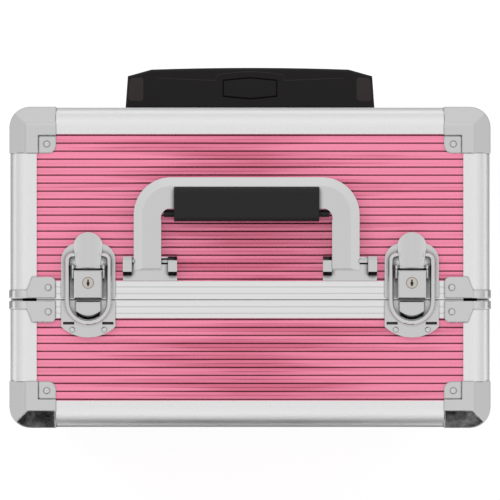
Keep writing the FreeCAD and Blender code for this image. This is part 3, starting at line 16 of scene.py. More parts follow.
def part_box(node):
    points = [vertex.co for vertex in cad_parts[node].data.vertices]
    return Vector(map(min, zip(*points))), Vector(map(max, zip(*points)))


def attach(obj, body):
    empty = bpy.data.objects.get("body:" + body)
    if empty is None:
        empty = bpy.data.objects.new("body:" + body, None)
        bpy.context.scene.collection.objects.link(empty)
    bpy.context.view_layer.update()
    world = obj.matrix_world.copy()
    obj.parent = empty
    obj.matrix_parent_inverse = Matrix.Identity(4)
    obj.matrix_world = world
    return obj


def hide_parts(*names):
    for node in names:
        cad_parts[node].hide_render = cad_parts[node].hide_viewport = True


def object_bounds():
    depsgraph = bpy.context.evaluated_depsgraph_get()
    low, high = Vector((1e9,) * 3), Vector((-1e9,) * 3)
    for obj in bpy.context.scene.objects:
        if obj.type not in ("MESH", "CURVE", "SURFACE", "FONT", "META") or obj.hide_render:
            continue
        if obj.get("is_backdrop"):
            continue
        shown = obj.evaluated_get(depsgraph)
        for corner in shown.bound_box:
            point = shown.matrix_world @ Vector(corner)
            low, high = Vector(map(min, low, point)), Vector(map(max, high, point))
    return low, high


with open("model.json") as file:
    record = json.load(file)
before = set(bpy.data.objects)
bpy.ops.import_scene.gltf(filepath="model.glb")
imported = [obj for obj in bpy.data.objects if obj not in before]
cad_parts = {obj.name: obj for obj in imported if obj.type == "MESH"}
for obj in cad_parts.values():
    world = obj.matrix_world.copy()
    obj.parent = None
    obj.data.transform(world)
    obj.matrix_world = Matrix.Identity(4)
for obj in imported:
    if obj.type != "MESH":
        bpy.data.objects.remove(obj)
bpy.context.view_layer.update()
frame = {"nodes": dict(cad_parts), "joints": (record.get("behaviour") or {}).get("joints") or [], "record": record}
MM = 0.001

# %% [markdown]
# ## Where things are
# Every Blender piece is placed from the frame: the box of a node says where it is, and a joint
# says where it turns. Lengths are written in millimetres, as a maker would say them, and become
# metres by one factor. When the CAD changes a little, everything here follows.

# %% Places that later cells measure from
UP = Vector((0, 0, 1))
joints = {joint["name"]: joint for joint in frame["joints"]}
case_low, case_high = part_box("base_board")
middle_y = (case_low.y + case_high.y) / 2
lid_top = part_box("rear_lid_rails")[1].z
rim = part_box("base_rim_rail")[1].z


def joint_place(name):
    """The point in space that a joint turns about."""
    return Vector(joints[name]["pos_m"])


print("rim at %.0f mm, top of the lids at %.0f mm" % (rim / MM, lid_top / MM))

# %% [markdown]
# ## Turned pieces and small blocks
# Rivets, screws and rings are all made on a lathe, or look as if they were. The first helper takes
# half of the outline as pairs of radius and height, and turns it about a direction. Building the
# mesh point by point, and not from a ready-made cylinder, lets a rivet have a true low dome. The
# second helper joins two outlines into a block without a bottom, since nobody sees the bottom.

# %% Helpers for small pieces
SHARP_DEGREES = 35


def smooth(mesh, angle=SHARP_DEGREES):
    """Smooth shading, broken where faces meet at more than the angle."""
    for polygon in mesh.polygons:
        polygon.use_smooth = True
    mesh.set_sharp_from_angle(angle=math.radians(angle))
    return mesh


def add_turned(bm, profile, place, direction, steps):
    """Turn (radius, height) pairs in millimetres about a direction that starts at a place."""
    turn = UP.rotation_difference(Vector(direction)).to_matrix()
    rings = []
    for radius, height in profile:
        if radius == 0:
            rings.append([bm.verts.new(place + turn @ Vector((0, 0, height * MM)))])
            continue
        ring = []
        for n in range(steps):
            angle = 2 * math.pi * n / steps
            point = Vector((radius * math.cos(angle), radius * math.sin(angle), height)) * MM
            ring.append(bm.verts.new(place + turn @ point))
        rings.append(ring)
    for lower, upper in zip(rings, rings[1:]):
        for n in range(steps):
            m = (n + 1) % steps
            if len(upper) == 1:
                bm.faces.new((lower[n], lower[m], upper[0]))
            else:
                bm.faces.new((lower[n], lower[m], upper[m], upper[n]))


def add_block(bm, low, top):
    """Sides and a top face between two outlines with the same number of points."""
    low = [bm.verts.new(point) for point in low]
    top = [bm.verts.new(point) for point in top]
    bm.faces.new(top)
    for n in range(len(top)):
        m = (n + 1) % len(top)
        bm.faces.new((low[n], low[m], top[m], top[n]))


def finish_mesh(bm, name):
    """Turn the working mesh into an object."""
    bmesh.ops.recalc_face_normals(bm, faces=bm.faces)
    mesh = bpy.data.meshes.new(name)
    bm.to_mesh(mesh)
    bm.free()
    return bpy.data.objects.new(name, smooth(mesh))


def keep(obj, body, finish):
    """Link a finished piece, let it ride on its body and give it its finish."""
    bpy.context.scene.collection.objects.link(obj)
    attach(obj, body)
    obj.data.materials.clear()
    obj.data.materials.append(finish.material)
    return obj


print("the lathe is ready")

# %% [markdown]
# ## Shared effects as node groups
# Real finishes share a few habits: drawn metal has long fine lines, moulded plastic has a skin of
# tiny bumps, every surface that hands touch has cloudy smudges, and dust settles on what faces up.
# Each habit is one shader node group with named inputs, built once and placed in many materials.

# %% Building a node group
class Wiring:
    """Adds nodes to a tree and links them, one short call each."""

    def __init__(self, tree):
        self.tree = tree

    def add(self, kind, **settings):
        node = self.tree.nodes.new(kind)
        for key, value in settings.items():
            setattr(node, key, value)
        return node

    def link(self, source, target):
        self.tree.links.new(source, target)

    def feed(self, value, target):
        """Give an input its value, which is a number or another node's socket."""
        if isinstance(value, (int, float, tuple)):
            target.default_value = value
        else:
            self.link(value, target)

    def math(self, operation, first, second=0.0):
        """One arithmetic step."""
        node = self.add("ShaderNodeMath", operation=operation)
        self.feed(first, node.inputs[0])
        self.feed(second, node.inputs[1])
        return node.outputs[0]

    def axis(self, vector, name):
        """One coordinate of a vector."""
        node = self.add("ShaderNodeSeparateXYZ")
        self.link(vector, node.inputs[0])
        return node.outputs[name]

    def scaled(self, vector, amounts):
        node = self.add("ShaderNodeVectorMath", operation="MULTIPLY")
        self.link(vector, node.inputs[0])
        self.feed(amounts, node.inputs[1])
        return node.outputs[0]

    def noise(self, vector, scale, detail=3.0, roughness=0.55):
        node = self.add("ShaderNodeTexNoise")
        node.inputs["Detail"].default_value = detail
        node.inputs["Roughness"].default_value = roughness
        self.link(vector, node.inputs["Vector"])
        self.feed(scale, node.inputs["Scale"])
        return node.outputs["Fac"]

    def spread(self, value, low, high, to_low=0.0, to_high=1.0):
        """Map the range low..high of a value onto another range, clamped."""
        node = self.add("ShaderNodeMapRange")
        self.feed(low, node.inputs["From Min"])
        self.feed(high, node.inputs["From Max"])
        self.feed(to_low, node.inputs["To Min"])
        self.feed(to_high, node.inputs["To Max"])
        self.link(value, node.inputs["Value"])
        return node.outputs["Result"]


def new_group(name, inputs, outputs):
    """A shader node group: inputs and outputs are (name, kind, value) and (name, kind)."""
    tree = bpy.data.node_groups.new(name, "ShaderNodeTree")
    for label, kind, value in inputs:
        socket = tree.interface.new_socket(label, in_out="INPUT", socket_type="NodeSocket" + kind)
        if value is not None:
            socket.default_value = value
    for label, kind in outputs:
        tree.interface.new_socket(label, in_out="OUTPUT", socket_type="NodeSocket" + kind)
    inside = Wiring(tree)
    return tree, inside, inside.add("NodeGroupInput"), inside.add("NodeGroupOutput")


print("node groups can be built")

# %% [markdown]
# ### Drawn lines
# A rail is pulled through a die, which leaves lines along it. Noise gives such lines when it is
# squeezed hard across the pull and stretched along it. The parting rails run along X, so their
# lines are stacked along Y, and one stretch serves them.

# %% The group for drawn lines
ALONG_LINES = 3.0
drawn_lines, wires, given, result = new_group(
    "Drawn lines",
    [("Position", "Vector", None), ("Lines per metre", "Float", 900.0), ("Strength", "Float", 0.5)],
    [("Height", "Float"), ("Shade", "Float")])
squeeze = wires.add("ShaderNodeCombineXYZ")
squeeze.inputs["X"].default_value = ALONG_LINES
squeeze.inputs["Z"].default_value = ALONG_LINES
wires.link(given.outputs["Lines per metre"], squeeze.inputs["Y"])
stretched = wires.scaled(given.outputs["Position"], squeeze.outputs[0])
lines = wires.noise(stretched, 1.0, detail=5.0, roughness=0.7)
wires.link(wires.math("MULTIPLY", lines, given.outputs["Strength"]), result.inputs["Height"])
wires.link(wires.spread(lines, 0.3, 0.7, 0.94, 1.03), result.inputs["Shade"])
print("group:", drawn_lines.name)

# %% [markdown]
# ### Moulded skin
# The tool that plastic is moulded in is etched, so that scratches show less. Fine noise at about a
# third of a millimetre, fed to a bump, gives that skin without changing the mesh.

# %% The group for moulded skin
moulded_skin, wires, given, result = new_group(
    "Moulded skin",
    [("Position", "Vector", None), ("Grains per metre", "Float", 3000.0)],
    [("Height", "Float"), ("Shade", "Float")])
cells = wires.add("ShaderNodeTexVoronoi", feature="SMOOTH_F1")
wires.link(given.outputs["Position"], cells.inputs["Vector"])
wires.link(given.outputs["Grains per metre"], cells.inputs["Scale"])
fine = wires.noise(given.outputs["Position"], given.outputs["Grains per metre"], detail=2.0)
wires.link(wires.math("ADD", cells.outputs["Distance"], fine), result.inputs["Height"])
wires.link(wires.spread(fine, 0.3, 0.7, 0.9, 1.1), result.inputs["Shade"])
print("group:", moulded_skin.name)

# %% [markdown]
# ### Smudges and dust
# Hands leave a greasy haze on metal and gloss plastic: it hardly changes the colour, but it makes
# the reflection cloudier, so the group gives a mask for roughness. Dust does change the colour,
# and lies only on what faces up, so its group looks at the surface normal too.

# %% The groups for smudges and dust
smudges, wires, given, result = new_group(
    "Smudges",
    [("Position", "Vector", None), ("Patches per metre", "Float", 30.0)],
    [("Mask", "Float")])
clouds = wires.noise(given.outputs["Position"], given.outputs["Patches per metre"],
                     detail=6.0, roughness=0.65)
wires.link(wires.spread(clouds, 0.4, 0.68), result.inputs["Mask"])

SPECKS_PER_METRE = 160.0
settled_dust, wires, given, result = new_group(
    "Settled dust",
    [("Position", "Vector", None), ("Normal", "Vector", None), ("Amount", "Float", 0.3)],
    [("Mask", "Float")])
upward = wires.spread(wires.axis(given.outputs["Normal"], "Z"), 0.2, 0.95)
specks = wires.noise(given.outputs["Position"], SPECKS_PER_METRE, detail=8.0, roughness=0.75)
spotted = wires.math("MULTIPLY", upward, wires.spread(specks, 0.45, 0.8))
wires.link(wires.math("MULTIPLY", spotted, given.outputs["Amount"]), result.inputs["Mask"])
print("groups:", smudges.name, "and", settled_dust.name)

# %% [markdown]
# ### Cloth pile
# The inside is lined with velour, a knitted cloth with a short brushed pile. Its nap lies in
# patches that catch the light differently, and the pile itself is a fine bump. The same two sizes
# of noise serve for the fibres of the board.

# %% The group for cloth pile
NAP_PER_METRE = 22.0
cloth_pile, wires, given, result = new_group(
    "Cloth pile",
    [("Position", "Vector", None), ("Tufts per metre", "Float", 2600.0)],
    [("Height", "Float"), ("Shade", "Float")])
tufts = wires.noise(given.outputs["Position"], given.outputs["Tufts per metre"],
                    detail=3.0, roughness=0.8)
nap = wires.noise(given.outputs["Position"], NAP_PER_METRE, detail=4.0)
wires.link(tufts, result.inputs["Height"])
nap_shade = wires.spread(nap, 0.3, 0.7, 0.7, 1.25)
tuft_shade = wires.spread(tufts, 0.3, 0.7, -0.3, 0.3)
wires.link(wires.math("ADD", nap_shade, tuft_shade), result.inputs["Shade"])
print("group:", cloth_pile.name)

# %% [markdown]
# ### Rib lines
# The panels' sheet is rolled into ribs, and the roll leaves a shallow half groove halfway between two grooves,
# which the solids leave out. The group gives a line mask for each groove and a fainter one for each half groove;
# the pink film lays painted shade along them, so a groove is darker than the rib beside it. The group finds both
# from the distance along the stack, so it needs no image.

# %% The group for rib lines
rib_lines, wires, given, result = new_group(
    "Rib lines",
    [("Along", "Float", 0.0), ("First groove", "Float", 0.0), ("Pitch", "Float", 6.0 * MM),
     ("Groove width", "Float", 0.6 * MM), ("Faint width", "Float", 0.45 * MM)],
    [("Groove", "Float"), ("Faint", "Float")])
from_first = wires.math("SUBTRACT", given.outputs["Along"], given.outputs["First groove"])
for output, shift, width in (("Groove", 0.5, "Groove width"), ("Faint", 0.0, "Faint width")):
    turns = wires.math("ADD", wires.math("DIVIDE", from_first, given.outputs["Pitch"]), shift)
    part = wires.math("SUBTRACT", wires.math("FRACT", turns), 0.5)
    distance = wires.math("MULTIPLY", wires.math("ABSOLUTE", part), given.outputs["Pitch"])
    inner_edge = wires.math("MULTIPLY", given.outputs[width], 0.5)
    outer_edge = wires.math("MULTIPLY", given.outputs[width], 1.1)
    wires.link(wires.spread(distance, inner_edge, outer_edge, 1.0, 0.0), result.inputs[output])
print("group:", rib_lines.name)

# %% [markdown]
# ### Film streaks and painted reflection
# Pink film on bright metal is never one pink. Very fine streaks run along the ribs, and a dark reflection is
# painted in as a deeper pink, mostly in the middle of the lids. The group gives the streaks as a shade and the
# painted reflection as a mask.

# %% The group for film streaks and painted reflection
film_streaks_and_reflection, wires, given, result = new_group(
    "Film streaks and painted reflection",
    [("Position", "Vector", None), ("Streak stretch", "Vector", None),
     ("Patch stretch", "Vector", None), ("Wear", "Float", 1.0)],
    [("Shade", "Float"), ("Painted reflection", "Float")])
streaks = wires.noise(wires.scaled(given.outputs["Position"], given.outputs["Streak stretch"]),
                      1.0, detail=4.0, roughness=0.6)
wires.link(wires.spread(streaks, 0.3, 0.7, 0.9, 1.05), result.inputs["Shade"])
# Painted dark reflection: patches of noise, strongest in the middle of the lids.
patches = wires.noise(wires.scaled(given.outputs["Position"], given.outputs["Patch stretch"]),
                      1.0, detail=3.0)
from_middle = wires.math("ABSOLUTE", wires.axis(given.outputs["Position"], "X"))
less_outside = wires.spread(from_middle, 10.0 * MM, 120.0 * MM, -0.1, 0.16)
reflection_mask = wires.spread(wires.math("ADD", patches, less_outside), 0.34, 0.6, 1.0, 0.0)
wires.link(wires.math("MULTIPLY", reflection_mask, given.outputs["Wear"]), result.inputs["Painted reflection"])
print("group:", film_streaks_and_reflection.name)

# %% [markdown]
# ## A finish from one helper
# Each material starts the same way: a Principled shader, a place to measure from, and a Bevel node
# that rounds the light on sharp CAD edges. Then it differs: which group shades the colour, which
# one roughens it, and how far. Values that are the same all over sit on the shader's own sockets.

# %% The helper that builds a material
MIX_FIRST, MIX_SECOND, MIX_RESULT = 6, 7, 2


class Finish:
    """A material under construction, with short calls for what every finish here needs."""

    def __init__(self, name, colour, roughness, metallic=0.0, edge_mm=0.35):
        self.material = bpy.data.materials.new(name)
        self.material.use_nodes = True
        self.wires = Wiring(self.material.node_tree)
        self.shader = self.material.node_tree.nodes["Principled BSDF"]
        self.place = self.wires.add("ShaderNodeTexCoord").outputs["Object"]
        self.set("Base Color", (*colour, 1))
        self.set("Roughness", roughness)
        self.set("Metallic", metallic)
        self.colour = colour
        self.roughness = roughness
        self.edge = self.wires.add("ShaderNodeBevel", samples=4)
        self.edge.inputs["Radius"].default_value = edge_mm * MM
        self.wires.link(self.edge.outputs[0], self.shader.inputs["Normal"])
        self.tint = None

    def set(self, socket, value):
        self.shader.inputs[socket].default_value = value
        return self

    def group(self, tree, **values):
        """Place a node group; the name of a value is its input's, with _ for a space."""
        node = self.wires.add("ShaderNodeGroup", node_tree=tree)
        if "Position" in node.inputs:
            self.wires.link(self.place, node.inputs["Position"])
        for key, value in values.items():
            node.inputs[key.replace("_", " ")].default_value = value
        return node

    def lines_along(self, axis, first, **values):
        """The rib-line group, measured along an axis from the first line on."""
        node = self.group(rib_lines, First_groove=first, **values)
        self.wires.link(self.wires.axis(self.place, axis), node.inputs["Along"])
        return node

    def bump(self, height, distance_mm):
        """Fine relief, laid over the rounded edges."""
        node = self.wires.add("ShaderNodeBump")
        node.inputs["Strength"].default_value = 1.0
        node.inputs["Distance"].default_value = distance_mm * MM
        self.wires.link(height, node.inputs["Height"])
        self.wires.link(self.edge.outputs[0], node.inputs["Normal"])
        self.wires.link(node.outputs[0], self.shader.inputs["Normal"])
        return self

    def mixed(self, blend):
        """A colour mix whose first side is the colour so far."""
        node = self.wires.add("ShaderNodeMix", data_type="RGBA", blend_type=blend)
        self.wires.feed(self.tint or (*self.colour, 1), node.inputs[MIX_FIRST])
        self.tint = node.outputs[MIX_RESULT]
        self.wires.link(self.tint, self.shader.inputs["Base Color"])
        return node

    def shade(self, amount):
        """Multiply the colour by a value that changes over the surface."""
        node = self.mixed("MULTIPLY")
        node.inputs["Factor"].default_value = 1.0
        self.wires.link(amount, node.inputs[MIX_SECOND])
        return self

    def lay(self, mask, colour):
        """Lay another colour over the first where a mask says so."""
        node = self.mixed("MIX")
        self.wires.link(mask, node.inputs["Factor"])
        node.inputs[MIX_SECOND].default_value = (*colour, 1)
        return self

    def painted_hollow_shade(self, reach_mm, darkest, start=0.35, end=0.85):
        """Painted shade: darken the colour in gaps and inner corners, by ambient occlusion that reaches this far.
        """
        node = self.wires.add("ShaderNodeAmbientOcclusion", samples=8)
        node.inputs["Distance"].default_value = reach_mm * MM
        return self.shade(self.wires.spread(node.outputs["AO"], start, end, darkest, 1.0))

    def smudged(self, patches, rougher):
        """Hands' haze: rougher in so many patches per metre."""
        mask = self.group(smudges, Patches_per_metre=patches).outputs["Mask"]
        haze = self.wires.spread(mask, 0.0, 1.0, self.roughness, self.roughness + rougher)
        self.wires.link(haze, self.shader.inputs["Roughness"])
        return self

    def skinned(self, grains, depth_mm):
        """Moulded skin: relief and shade of so many grains per metre."""
        skin = self.group(moulded_skin, Grains_per_metre=grains)
        return self.bump(skin.outputs["Height"], depth_mm).shade(skin.outputs["Shade"])

    def dusty(self, amount, colour=(0.36, 0.35, 0.34)):
        """Dust on what faces up."""
        node = self.group(settled_dust, Amount=amount)
        normal = self.wires.add("ShaderNodeNewGeometry").outputs["Normal"]
        self.wires.link(normal, node.inputs["Normal"])
        return self.lay(node.outputs["Mask"], colour)


print("finishes can be built")

# %% [markdown]
# ## The metals
# The rails are anodised aluminium: satin, pale and even, and the parting rails show the die's lines. The caps,
# plates, latches and handle are chromed steel: a clear mirror that is a little darker than silver. Hinges, arms
# and axles are zinc-plated, greyer and cloudier, and the key plugs are nickelled brass in a browner ring. A
# metal's colour is its reflection, so the differences are in base colour and roughness; the rails, chrome and
# brass also get painted shade in their gaps and inner corners.

# %% Aluminium rails and tubes
ALUMINIUM = (0.86, 0.86, 0.86)
satin_rail = Finish("Satin rail", ALUMINIUM, 0.36, 1.0)
satin_grain = satin_rail.group(moulded_skin, Grains_per_metre=1500.0)
satin_rail.bump(satin_grain.outputs["Height"], 0.006)
satin_rail.shade(satin_rail.wires.spread(satin_grain.outputs["Shade"], 0.9, 1.1, 0.95, 1.04))
# Painted shade in gaps and inner corners, then hand smudges.
satin_rail.painted_hollow_shade(2.0, 0.25).smudged(14.0, 0.05)

PARTING_LINE_FRONT = 24.6 * MM
DIE_PITCH = 4.95 * MM
DIE_LINE_DEPTH = 0.28
DIE_LINE_GREY = (0.2, 0.2, 0.2)
drawn_rail = Finish("Drawn parting rail", ALUMINIUM, 0.3, 1.0)
drawn = drawn_rail.group(drawn_lines, Lines_per_metre=900.0, Strength=1.0)
# Drawn lines as relief and shade, then painted shade in gaps and inner corners.
drawn_rail.bump(drawn.outputs["Height"], 0.02).shade(drawn.outputs["Shade"]).painted_hollow_shade(2.0, 0.2)
die_lines = drawn_rail.lines_along("Y", middle_y - PARTING_LINE_FRONT, Pitch=DIE_PITCH)
die_mask = drawn_rail.wires.math("MULTIPLY", die_lines.outputs["Groove"], DIE_LINE_DEPTH)
drawn_rail.lay(die_mask, DIE_LINE_GREY)

tube_metal = Finish("Tube aluminium", (0.66, 0.66, 0.67), 0.28, 1.0).smudged(40.0, 0.12)
print("aluminium:", [m.name for m in bpy.data.materials])

# %% [markdown]
# ### Chrome, zinc and brass
# Chrome comes in two makes: sharp on the latches, and pressed with soft edges on the caps. Its inner corners and
# gaps get painted shade that reaches far and darkens the colour nearly to black.

# %% Chrome, plated steel and brass
def chrome_finish(name, edge_mm, reach_mm):
    """Chrome with edges rounded this much and painted shade in hollows that reaches this far."""
    made = Finish(name, (0.66, 0.66, 0.665), 0.06, 1.0, edge_mm=edge_mm).smudged(60.0, 0.08)
    # Painted shade that darkens gaps and inner corners nearly to black.
    return made.painted_hollow_shade(reach_mm, 0.01, 0.42, 0.9)


chrome = chrome_finish("Chromed steel", 0.22, 4.5)
pressed_chrome = chrome_finish("Pressed chrome", 1.8, 2.0)

plated = Finish("Plated steel", (0.52, 0.52, 0.54), 0.3, 1.0).smudged(120.0, 0.15)
plated.shade(plated.group(drawn_lines, Lines_per_metre=400.0).outputs["Shade"])

brass = Finish("Nickelled brass", (0.62, 0.59, 0.55), 0.12, 1.0, edge_mm=0.15)
# Hand smudges, then painted shade in the keyway and gaps.
brass.smudged(200.0, 0.15).painted_hollow_shade(2.0, 0.02, 0.5, 0.9)
ring_brass = Finish("Brass ring", (0.42, 0.30, 0.22), 0.15, 1.0, edge_mm=0.1).smudged(200.0, 0.15)
print("metals:", [m.name for m in bpy.data.materials])

# %% [markdown]
# ## The pink ribbed sheet
# The panels are thin aluminium with a pink metallic film, rolled into ribs six millimetres apart.
# The grooves are in the CAD solids. The finish adds a thin clear coat, fine streaks, a painted dark reflection
# that is deepest in the middle of the lids, and painted shade along the rib lines; the ribs stack along Y on the
# lids and along Z on the walls. The walls get much less of the painted reflection.

# %% The pink sheet, for lids and for walls
PINK = (0.99, 0.285, 0.44)
# A deeper pink for the painted dark reflection.
PAINTED_REFLECTION_PINK = (0.72, 0.155, 0.26)
# Near-black pink laid as painted shade in the grooves.
GROOVE_SHADE_PINK = (0.07, 0.002, 0.01)
FIRST_GROOVE = 3.9 * MM
STRETCHES = {"Y": ((2.0, 1100.0, 2.0), (6.0, 170.0, 6.0)),
             "Z": ((2.0, 2.0, 1100.0), (6.0, 6.0, 170.0))}
# How much of the painted dark reflection the lids and the walls get.
LID_PAINTED_REFLECTION = 1.0
WALL_PAINTED_REFLECTION = 0.15


def pink_film(name, axis, first_groove, painted_reflection):
    """Film whose ribs are stacked along an axis, from the first groove on."""
    made = Finish(name, PINK, 0.26, 0.5, edge_mm=0.12)
    made.set("Coat Weight", 0.15).set("Coat Roughness", 0.08)
    streak_stretch, patch_stretch = STRETCHES[axis]
    film = made.group(film_streaks_and_reflection, Streak_stretch=streak_stretch, Patch_stretch=patch_stretch,
                      Wear=painted_reflection)
    # Random streaks as shade, then the painted dark reflection in a deeper pink.
    made.shade(film.outputs["Shade"]).lay(film.outputs["Painted reflection"], PAINTED_REFLECTION_PINK)
    lines = made.lines_along(axis, first_groove)
    # Painted shade along the grooves and the faint half grooves, stronger where the dark reflection is painted.
    for line, outside_reflection, in_reflection in (("Faint", 0.08, 0.5), ("Groove", 0.9, 1.0)):
        strength = made.wires.spread(film.outputs["Painted reflection"], 0.0, 1.0, outside_reflection, in_reflection)
        made.lay(made.wires.math("MULTIPLY", lines.outputs[line], strength), GROOVE_SHADE_PINK)
    return made


rear_panel_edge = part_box("rear_lid_top_panel")[1].y
front_panel_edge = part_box("front_lid_top_panel")[0].y
lid_wall_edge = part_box("rear_lid_wall_panels")[1].z
base_wall_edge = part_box("base_wall_panels")[1].z
pink_rear = pink_film("Pink film, rear lid", "Y", rear_panel_edge - FIRST_GROOVE, LID_PAINTED_REFLECTION)
pink_front = pink_film("Pink film, front lid", "Y", front_panel_edge + FIRST_GROOVE, LID_PAINTED_REFLECTION)
pink_lid_wall = pink_film("Pink film, lid walls", "Z", lid_wall_edge - FIRST_GROOVE, WALL_PAINTED_REFLECTION)
pink_base_wall = pink_film("Pink film, base walls", "Z", base_wall_edge - FIRST_GROOVE, WALL_PAINTED_REFLECTION)
print("four runs of film")

# %% [markdown]
# ## Plastics and rubber
# Black is never one black. The trolley grip is glossy with faint smudges, its brackets are etched
# and matt, the carry grip is soft and scatters light, the grip's end pads are a browner rubber, and
# tyres and feet are dusty.

# %% Plastics and rubbers
gloss_black = Finish("Gloss black plastic", (0.004, 0.003, 0.003), 0.09, edge_mm=1.2)
gloss_black.set("Specular IOR Level", 0.22).smudged(35.0, 0.1)

matt_black = Finish("Etched black plastic", (0.022, 0.021, 0.021), 0.5, edge_mm=0.5)
matt_black.skinned(2400.0, 0.03).dusty(0.25)

soft_grip = Finish("Soft black grip", (0.010, 0.010, 0.011), 0.42, edge_mm=0.8)
soft_grip.set("Specular IOR Level", 0.25).skinned(1800.0, 0.03)

pad_rubber = Finish("Pad rubber", (0.022, 0.018, 0.018), 0.5, edge_mm=0.3)
pad_skin = pad_rubber.group(moulded_skin, Grains_per_metre=2000.0)
pad_rubber.set("Specular IOR Level", 0.3).shade(pad_skin.outputs["Shade"])

tray_plastic = Finish("Tray plastic", (0.03, 0.03, 0.032), 0.4).skinned(1500.0, 0.04)
hub_grey = Finish("Hub plastic", (0.10, 0.10, 0.105), 0.38).skinned(2200.0, 0.02)

tyre_rubber = Finish("Tyre rubber", (0.025, 0.025, 0.025), 0.7, edge_mm=0.4)
tyre_rubber.skinned(1400.0, 0.06).dusty(0.5, (0.3, 0.28, 0.26))
print("plastics and rubbers are done")

# %% [markdown]
# ## Cloth and board
# Velour gets a sheen from its pile; the sheen is the same all over, so it sits on the shader
# itself. The board is brown fibreboard, which shows only at its cut edges when the lids are open,
# and the bottom sheet is plain black.

# %% Velour, fibreboard and the plain bottom sheet
velour = Finish("Black velour", (0.022, 0.021, 0.024), 0.95)
pile = velour.group(cloth_pile)
velour.bump(pile.outputs["Height"], 0.25).shade(pile.outputs["Shade"])
velour.set("Sheen Weight", 0.6).set("Sheen Roughness", 0.4)

fibreboard = Finish("Fibreboard", (0.13, 0.095, 0.065), 0.85)
fibres = fibreboard.group(cloth_pile, Tufts_per_metre=900.0)
fibreboard.bump(fibres.outputs["Height"], 0.08).shade(fibres.outputs["Shade"])

black_sheet = Finish("Black bottom sheet", (0.03, 0.03, 0.03), 0.45, 0.2)
sheet_skin = black_sheet.group(moulded_skin, Grains_per_metre=900.0)
black_sheet.bump(sheet_skin.outputs["Height"], 0.05).dusty(0.15)
print(len(bpy.data.materials), "materials are ready")

# %% [markdown]
# ## Painting the CAD solids
# The record names a slot for every solid, and every slot gets one finish. The lids' top panels and
# the walls share a slot, but their ribs run differently, so every run of ribs gets its own film.
# The parting rails and the caps get a finish of their own too, since they differ from the other
# solids of their slot.

# %% Give every solid its finish
finish_of_slot = {
    "board": fibreboard, "lining": velour, "ribbed_sheet": pink_base_wall,
    "plain_sheet": black_sheet, "rail": satin_rail, "bright_metal": chrome, "steel": plated,
    "key_plug": brass, "soft_grip": soft_grip, "gloss_black": gloss_black, "moulding": matt_black,
    "tray_plastic": tray_plastic, "tube": tube_metal, "wheel_hub": hub_grey,
    "tyre": tyre_rubber, "foot_rubber": tyre_rubber}
finish_of_node = {
    "rear_lid_top_panel": pink_rear, "front_lid_top_panel": pink_front,
    "rear_lid_wall_panels": pink_lid_wall, "front_lid_wall_panels": pink_lid_wall,
    "rear_lid_parting_rails": drawn_rail, "front_lid_parting_rails": drawn_rail,
    "rear_lid_corner_fittings": pressed_chrome, "front_lid_corner_fittings": pressed_chrome,
    "base_corner_caps": pressed_chrome}

for entry in frame["record"]["subparts"]:
    node = frame["nodes"][entry["node"]]
    chosen = finish_of_node.get(entry["node"], finish_of_slot[entry["material_slot"]])
    node.data.materials.clear()
    node.data.materials.append(chosen.material)
print("painted", len(frame["nodes"]), "solids")

# %% [markdown]
# ## The bails
# Each latch holds the front lid with a closed loop of wire. The solid has the wire's path; here it
# becomes a smooth tube. The solid's wire has six flat sides, so its box stops at a flat. From that
# box and the pivot the path is worked out again: straight through the lever, small corners, down
# both sides, and a half circle round the catch.

# %% Smooth wire for the bails
WIRE_RADIUS = 1.9 * MM
FLAT_RADIUS = WIRE_RADIUS * math.cos(math.pi / 6)
BAIL_CORNER = 4.0 * MM
CORNER_STEP = 15
LOOP_STEP = 10
WIRE_SHARP_DEGREES = 60


def bail_path(low, high, pivot):
    """Centre line of the loop in its own plane, y measured from the pivot."""
    half = (high.x - low.x) / 2 - FLAT_RADIUS
    toe = low.y + FLAT_RADIUS - pivot.y

    def corner(side, degrees):
        points = []
        for angle in map(math.radians, degrees):
            x = half - BAIL_CORNER + BAIL_CORNER * math.sin(angle)
            points.append((side * x, -BAIL_CORNER + BAIL_CORNER * math.cos(angle)))
        return points

    points = corner(1, range(0, 91, CORNER_STEP))
    for angle in map(math.radians, range(0, 181, LOOP_STEP)):
        points.append((half * math.cos(angle), toe + half - half * math.sin(angle)))
    return points + corner(-1, range(90, -1, -CORNER_STEP))


def wire_bail(side):
    node = side + "_latch_bail"
    low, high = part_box(node)
    pivot = joint_place(side + "_latch_bail_pivot")
    path = bail_path(low, high, pivot)
    toe_y = min(y for x, y in path)
    sink = (pivot.z - (low.z + WIRE_RADIUS)) / toe_y
    curve = bpy.data.curves.new(node + "_wire", "CURVE")
    curve.dimensions = "3D"
    curve.bevel_depth = WIRE_RADIUS
    curve.bevel_resolution = 6
    spline = curve.splines.new("POLY")
    spline.points.add(len(path) - 1)
    for point, (x, y) in zip(spline.points, path):
        point.co = ((low.x + high.x) / 2 + x, pivot.y + y, pivot.z + y * sink, 1)
    spline.use_cyclic_u = True
    shape = bpy.data.objects.new("draft", curve)
    mesh = bpy.data.meshes.new_from_object(shape)
    bpy.data.objects.remove(shape)
    piece = bpy.data.objects.new(side + "_bail_wire", smooth(mesh, WIRE_SHARP_DEGREES))
    keep(piece, side + "_bail", chrome)
    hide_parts(node)
    return piece


wires_made = [wire_bail(side) for side in ("left", "right")]
print("bail wires:", [len(piece.data.vertices) for piece in wires_made], "points each")

# %% [markdown]
# ## Key plugs
# The key plug sits in a thin brass ring that is pressed into the lock. It is turned on the lathe helper, a little
# proud of the lock's face, so that it catches the light as in the photograph. The keyhole gets a black piece in
# its own outline, as painted shade for the hole, which turns with the plug.

